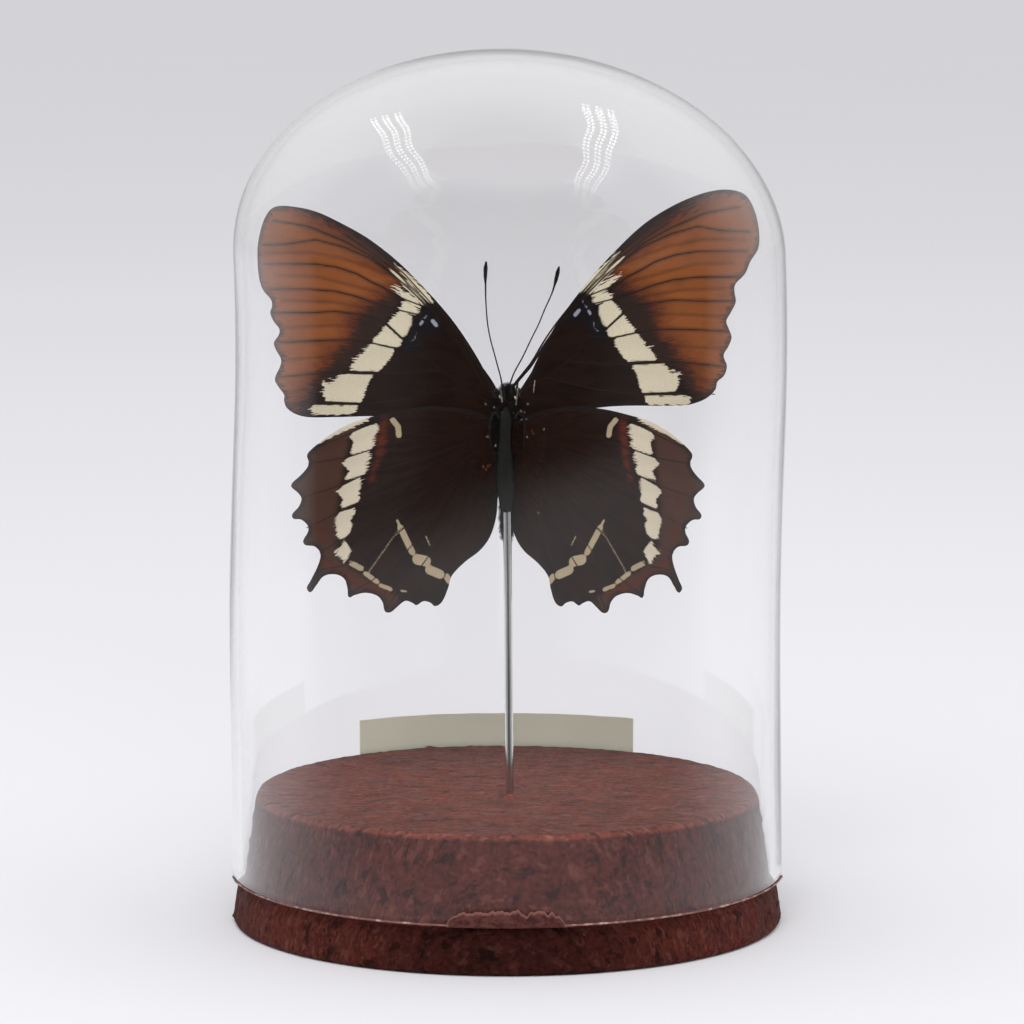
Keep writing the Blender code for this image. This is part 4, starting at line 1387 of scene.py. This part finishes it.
pale_crumb = fur_finish("pale_crumb", (0.12, 0.095, 0.08), (0.34, 0.30, 0.27), 0.7)
amber_crumb = fur_finish("amber_crumb", (0.09, 0.03, 0.010), (0.24, 0.10, 0.035), 0.5)
lumps("glue_crumbs", CRUMBS, pale_crumb, in_front_of_body)
lumps("amber_glue_crumbs", AMBER_CRUMBS, amber_crumb, in_front_of_body)

# %% [markdown]
# The face has pale lines of scales that run down beside the eyes, and one dark bristle.

# %% Face lines and bristle
FACE_LINES = [[(-0.84, -6.5, 78.7, 0.10), (-0.84, -6.6, 77.7, 0.14), (-0.72, -6.7, 76.7, 0.11)],
              [(1.51, -6.3, 78.7, 0.10), (1.42, -6.5, 77.6, 0.11), (1.27, -6.6, 76.3, 0.08)],
              [(3.98, -5.2, 79.75, 0.06), (3.86, -5.2, 78.7, 0.12), (3.78, -5.2, 77.9, 0.05)]]
bm = bmesh.new()
for route in FACE_LINES:
    line = smooth_line([point[:3] for point in route], 5)
    sweep(bm, line, spread([point[3] for point in route], len(line)), sides=8)
hand_in("pale_scale_lines", bm, pale_crumb, [])

spike = limb([(1.35, -5.6, 78.3, 0.2), (1.45, -5.6, 79.0, 0.17), (1.62, -5.6, 79.6, 0.06)])
hand_in("head_bristle", spike, dark_horn, [])

# %% [markdown]
# Some stain crept up from the cork at the front and dried as a wavy film on the outside of the
# lip. Its mesh stores how near each point is to the film's rim, where the stain dried paler.

# %% Stain smear
def stain_finish():
    material, tree, shader = new_finish("cork_stain_smear", Specular_IOR_Level=0.3)
    place = object_place(tree)
    blots = streaky(tree, place, (900, 900, 1500), 4.0, 0.65)
    rise = axis(tree, place, "Z")
    spread_out = blend_range(tree, blots, 0.35, 0.62)
    colour = tint(tree, spread_out, (0.030, 0.0055, 0.0045), (0.078, 0.022, 0.018))
    wet_foot = blend_range(tree, rise, 0.0074, 0.0066, 0.0, 0.8)
    colour = tint(tree, wet_foot, colour, (0.02, 0.004, 0.003))
    dried = blend_range(tree, layer_value(tree, "rim"), 0.72, 0.95)
    colour = tint(tree, times(tree, dried, 0.7), colour, (0.20, 0.085, 0.072))
    plug(tree, shader, Base_Color=colour, Roughness=blend_range(tree, blots, 0.3, 0.7, 0.35, 0.6),
         Normal=relief(tree, blots, 0.0002, 0.7))
    return material


def make_smear(left=-8.4, right=8.2, foot=RIM_HEIGHT + 0.3):
    """Stain from the cork that dried in a wavy film on the outside of the lip."""
    bm = bmesh.new()
    bmesh.ops.create_grid(bm, x_segments=120, y_segments=10, size=0.5)
    rim = bm.verts.layers.float.new("rim")
    for vert in bm.verts:
        share = vert.co.x + 0.5
        vert[rim] = max(vert.co.y + 0.5, abs(2 * share - 1) ** 6)
        x = left + (right - left) * share
        rounded_ends = math.sqrt(max(0.0, 1 - (2 * share - 1) ** 4))
        wave = noise.noise(Vector((x * 0.55, 4.0, 0))) + 0.5 * noise.noise(Vector((x * 1.7, 9.0, 0)))
        height = max(0.08, (2.3 + 1.1 * wave) * rounded_ends)
        z = foot + height * (vert.co.y + 0.5)
        reach = RIM_RADIUS - TUBE_TAPER * (z - RIM_HEIGHT) + 0.22
        vert.co = (x + sway(z), -math.sqrt(reach ** 2 - x ** 2), z)
    bmesh.ops.recalc_face_normals(bm, faces=bm.faces)
    bmesh.ops.solidify(bm, geom=bm.faces[:], thickness=0.06)
    return hand_in("stain_smear", bm, stain_finish(), [])


make_smear()

# %% [markdown]
# A thin pale thread follows the lip round the front: a painted highlight for the pale band that the
# glass lip shows.

# %% Lip residue
bm = bmesh.new()
arc = [math.radians(-90 + angle) for angle in np.linspace(-82, 82, 160)]
lip_reach = RIM_RADIUS + 0.05
lip_line = [Vector((lip_reach * math.cos(turn), lip_reach * math.sin(turn), RIM_HEIGHT + 0.5))
            for turn in arc]
widths = [0.13 + 0.12 * max(0.0, noise.noise(spot * 0.6)) for spot in lip_line]
sweep(bm, lip_line, widths, sides=6)
lip_highlight_finish = fur_finish("painted_lip_highlight", (0.16, 0.075, 0.065), (0.42, 0.30, 0.27), 0.6)
hand_in("painted_lip_highlight", bm, lip_highlight_finish, [])
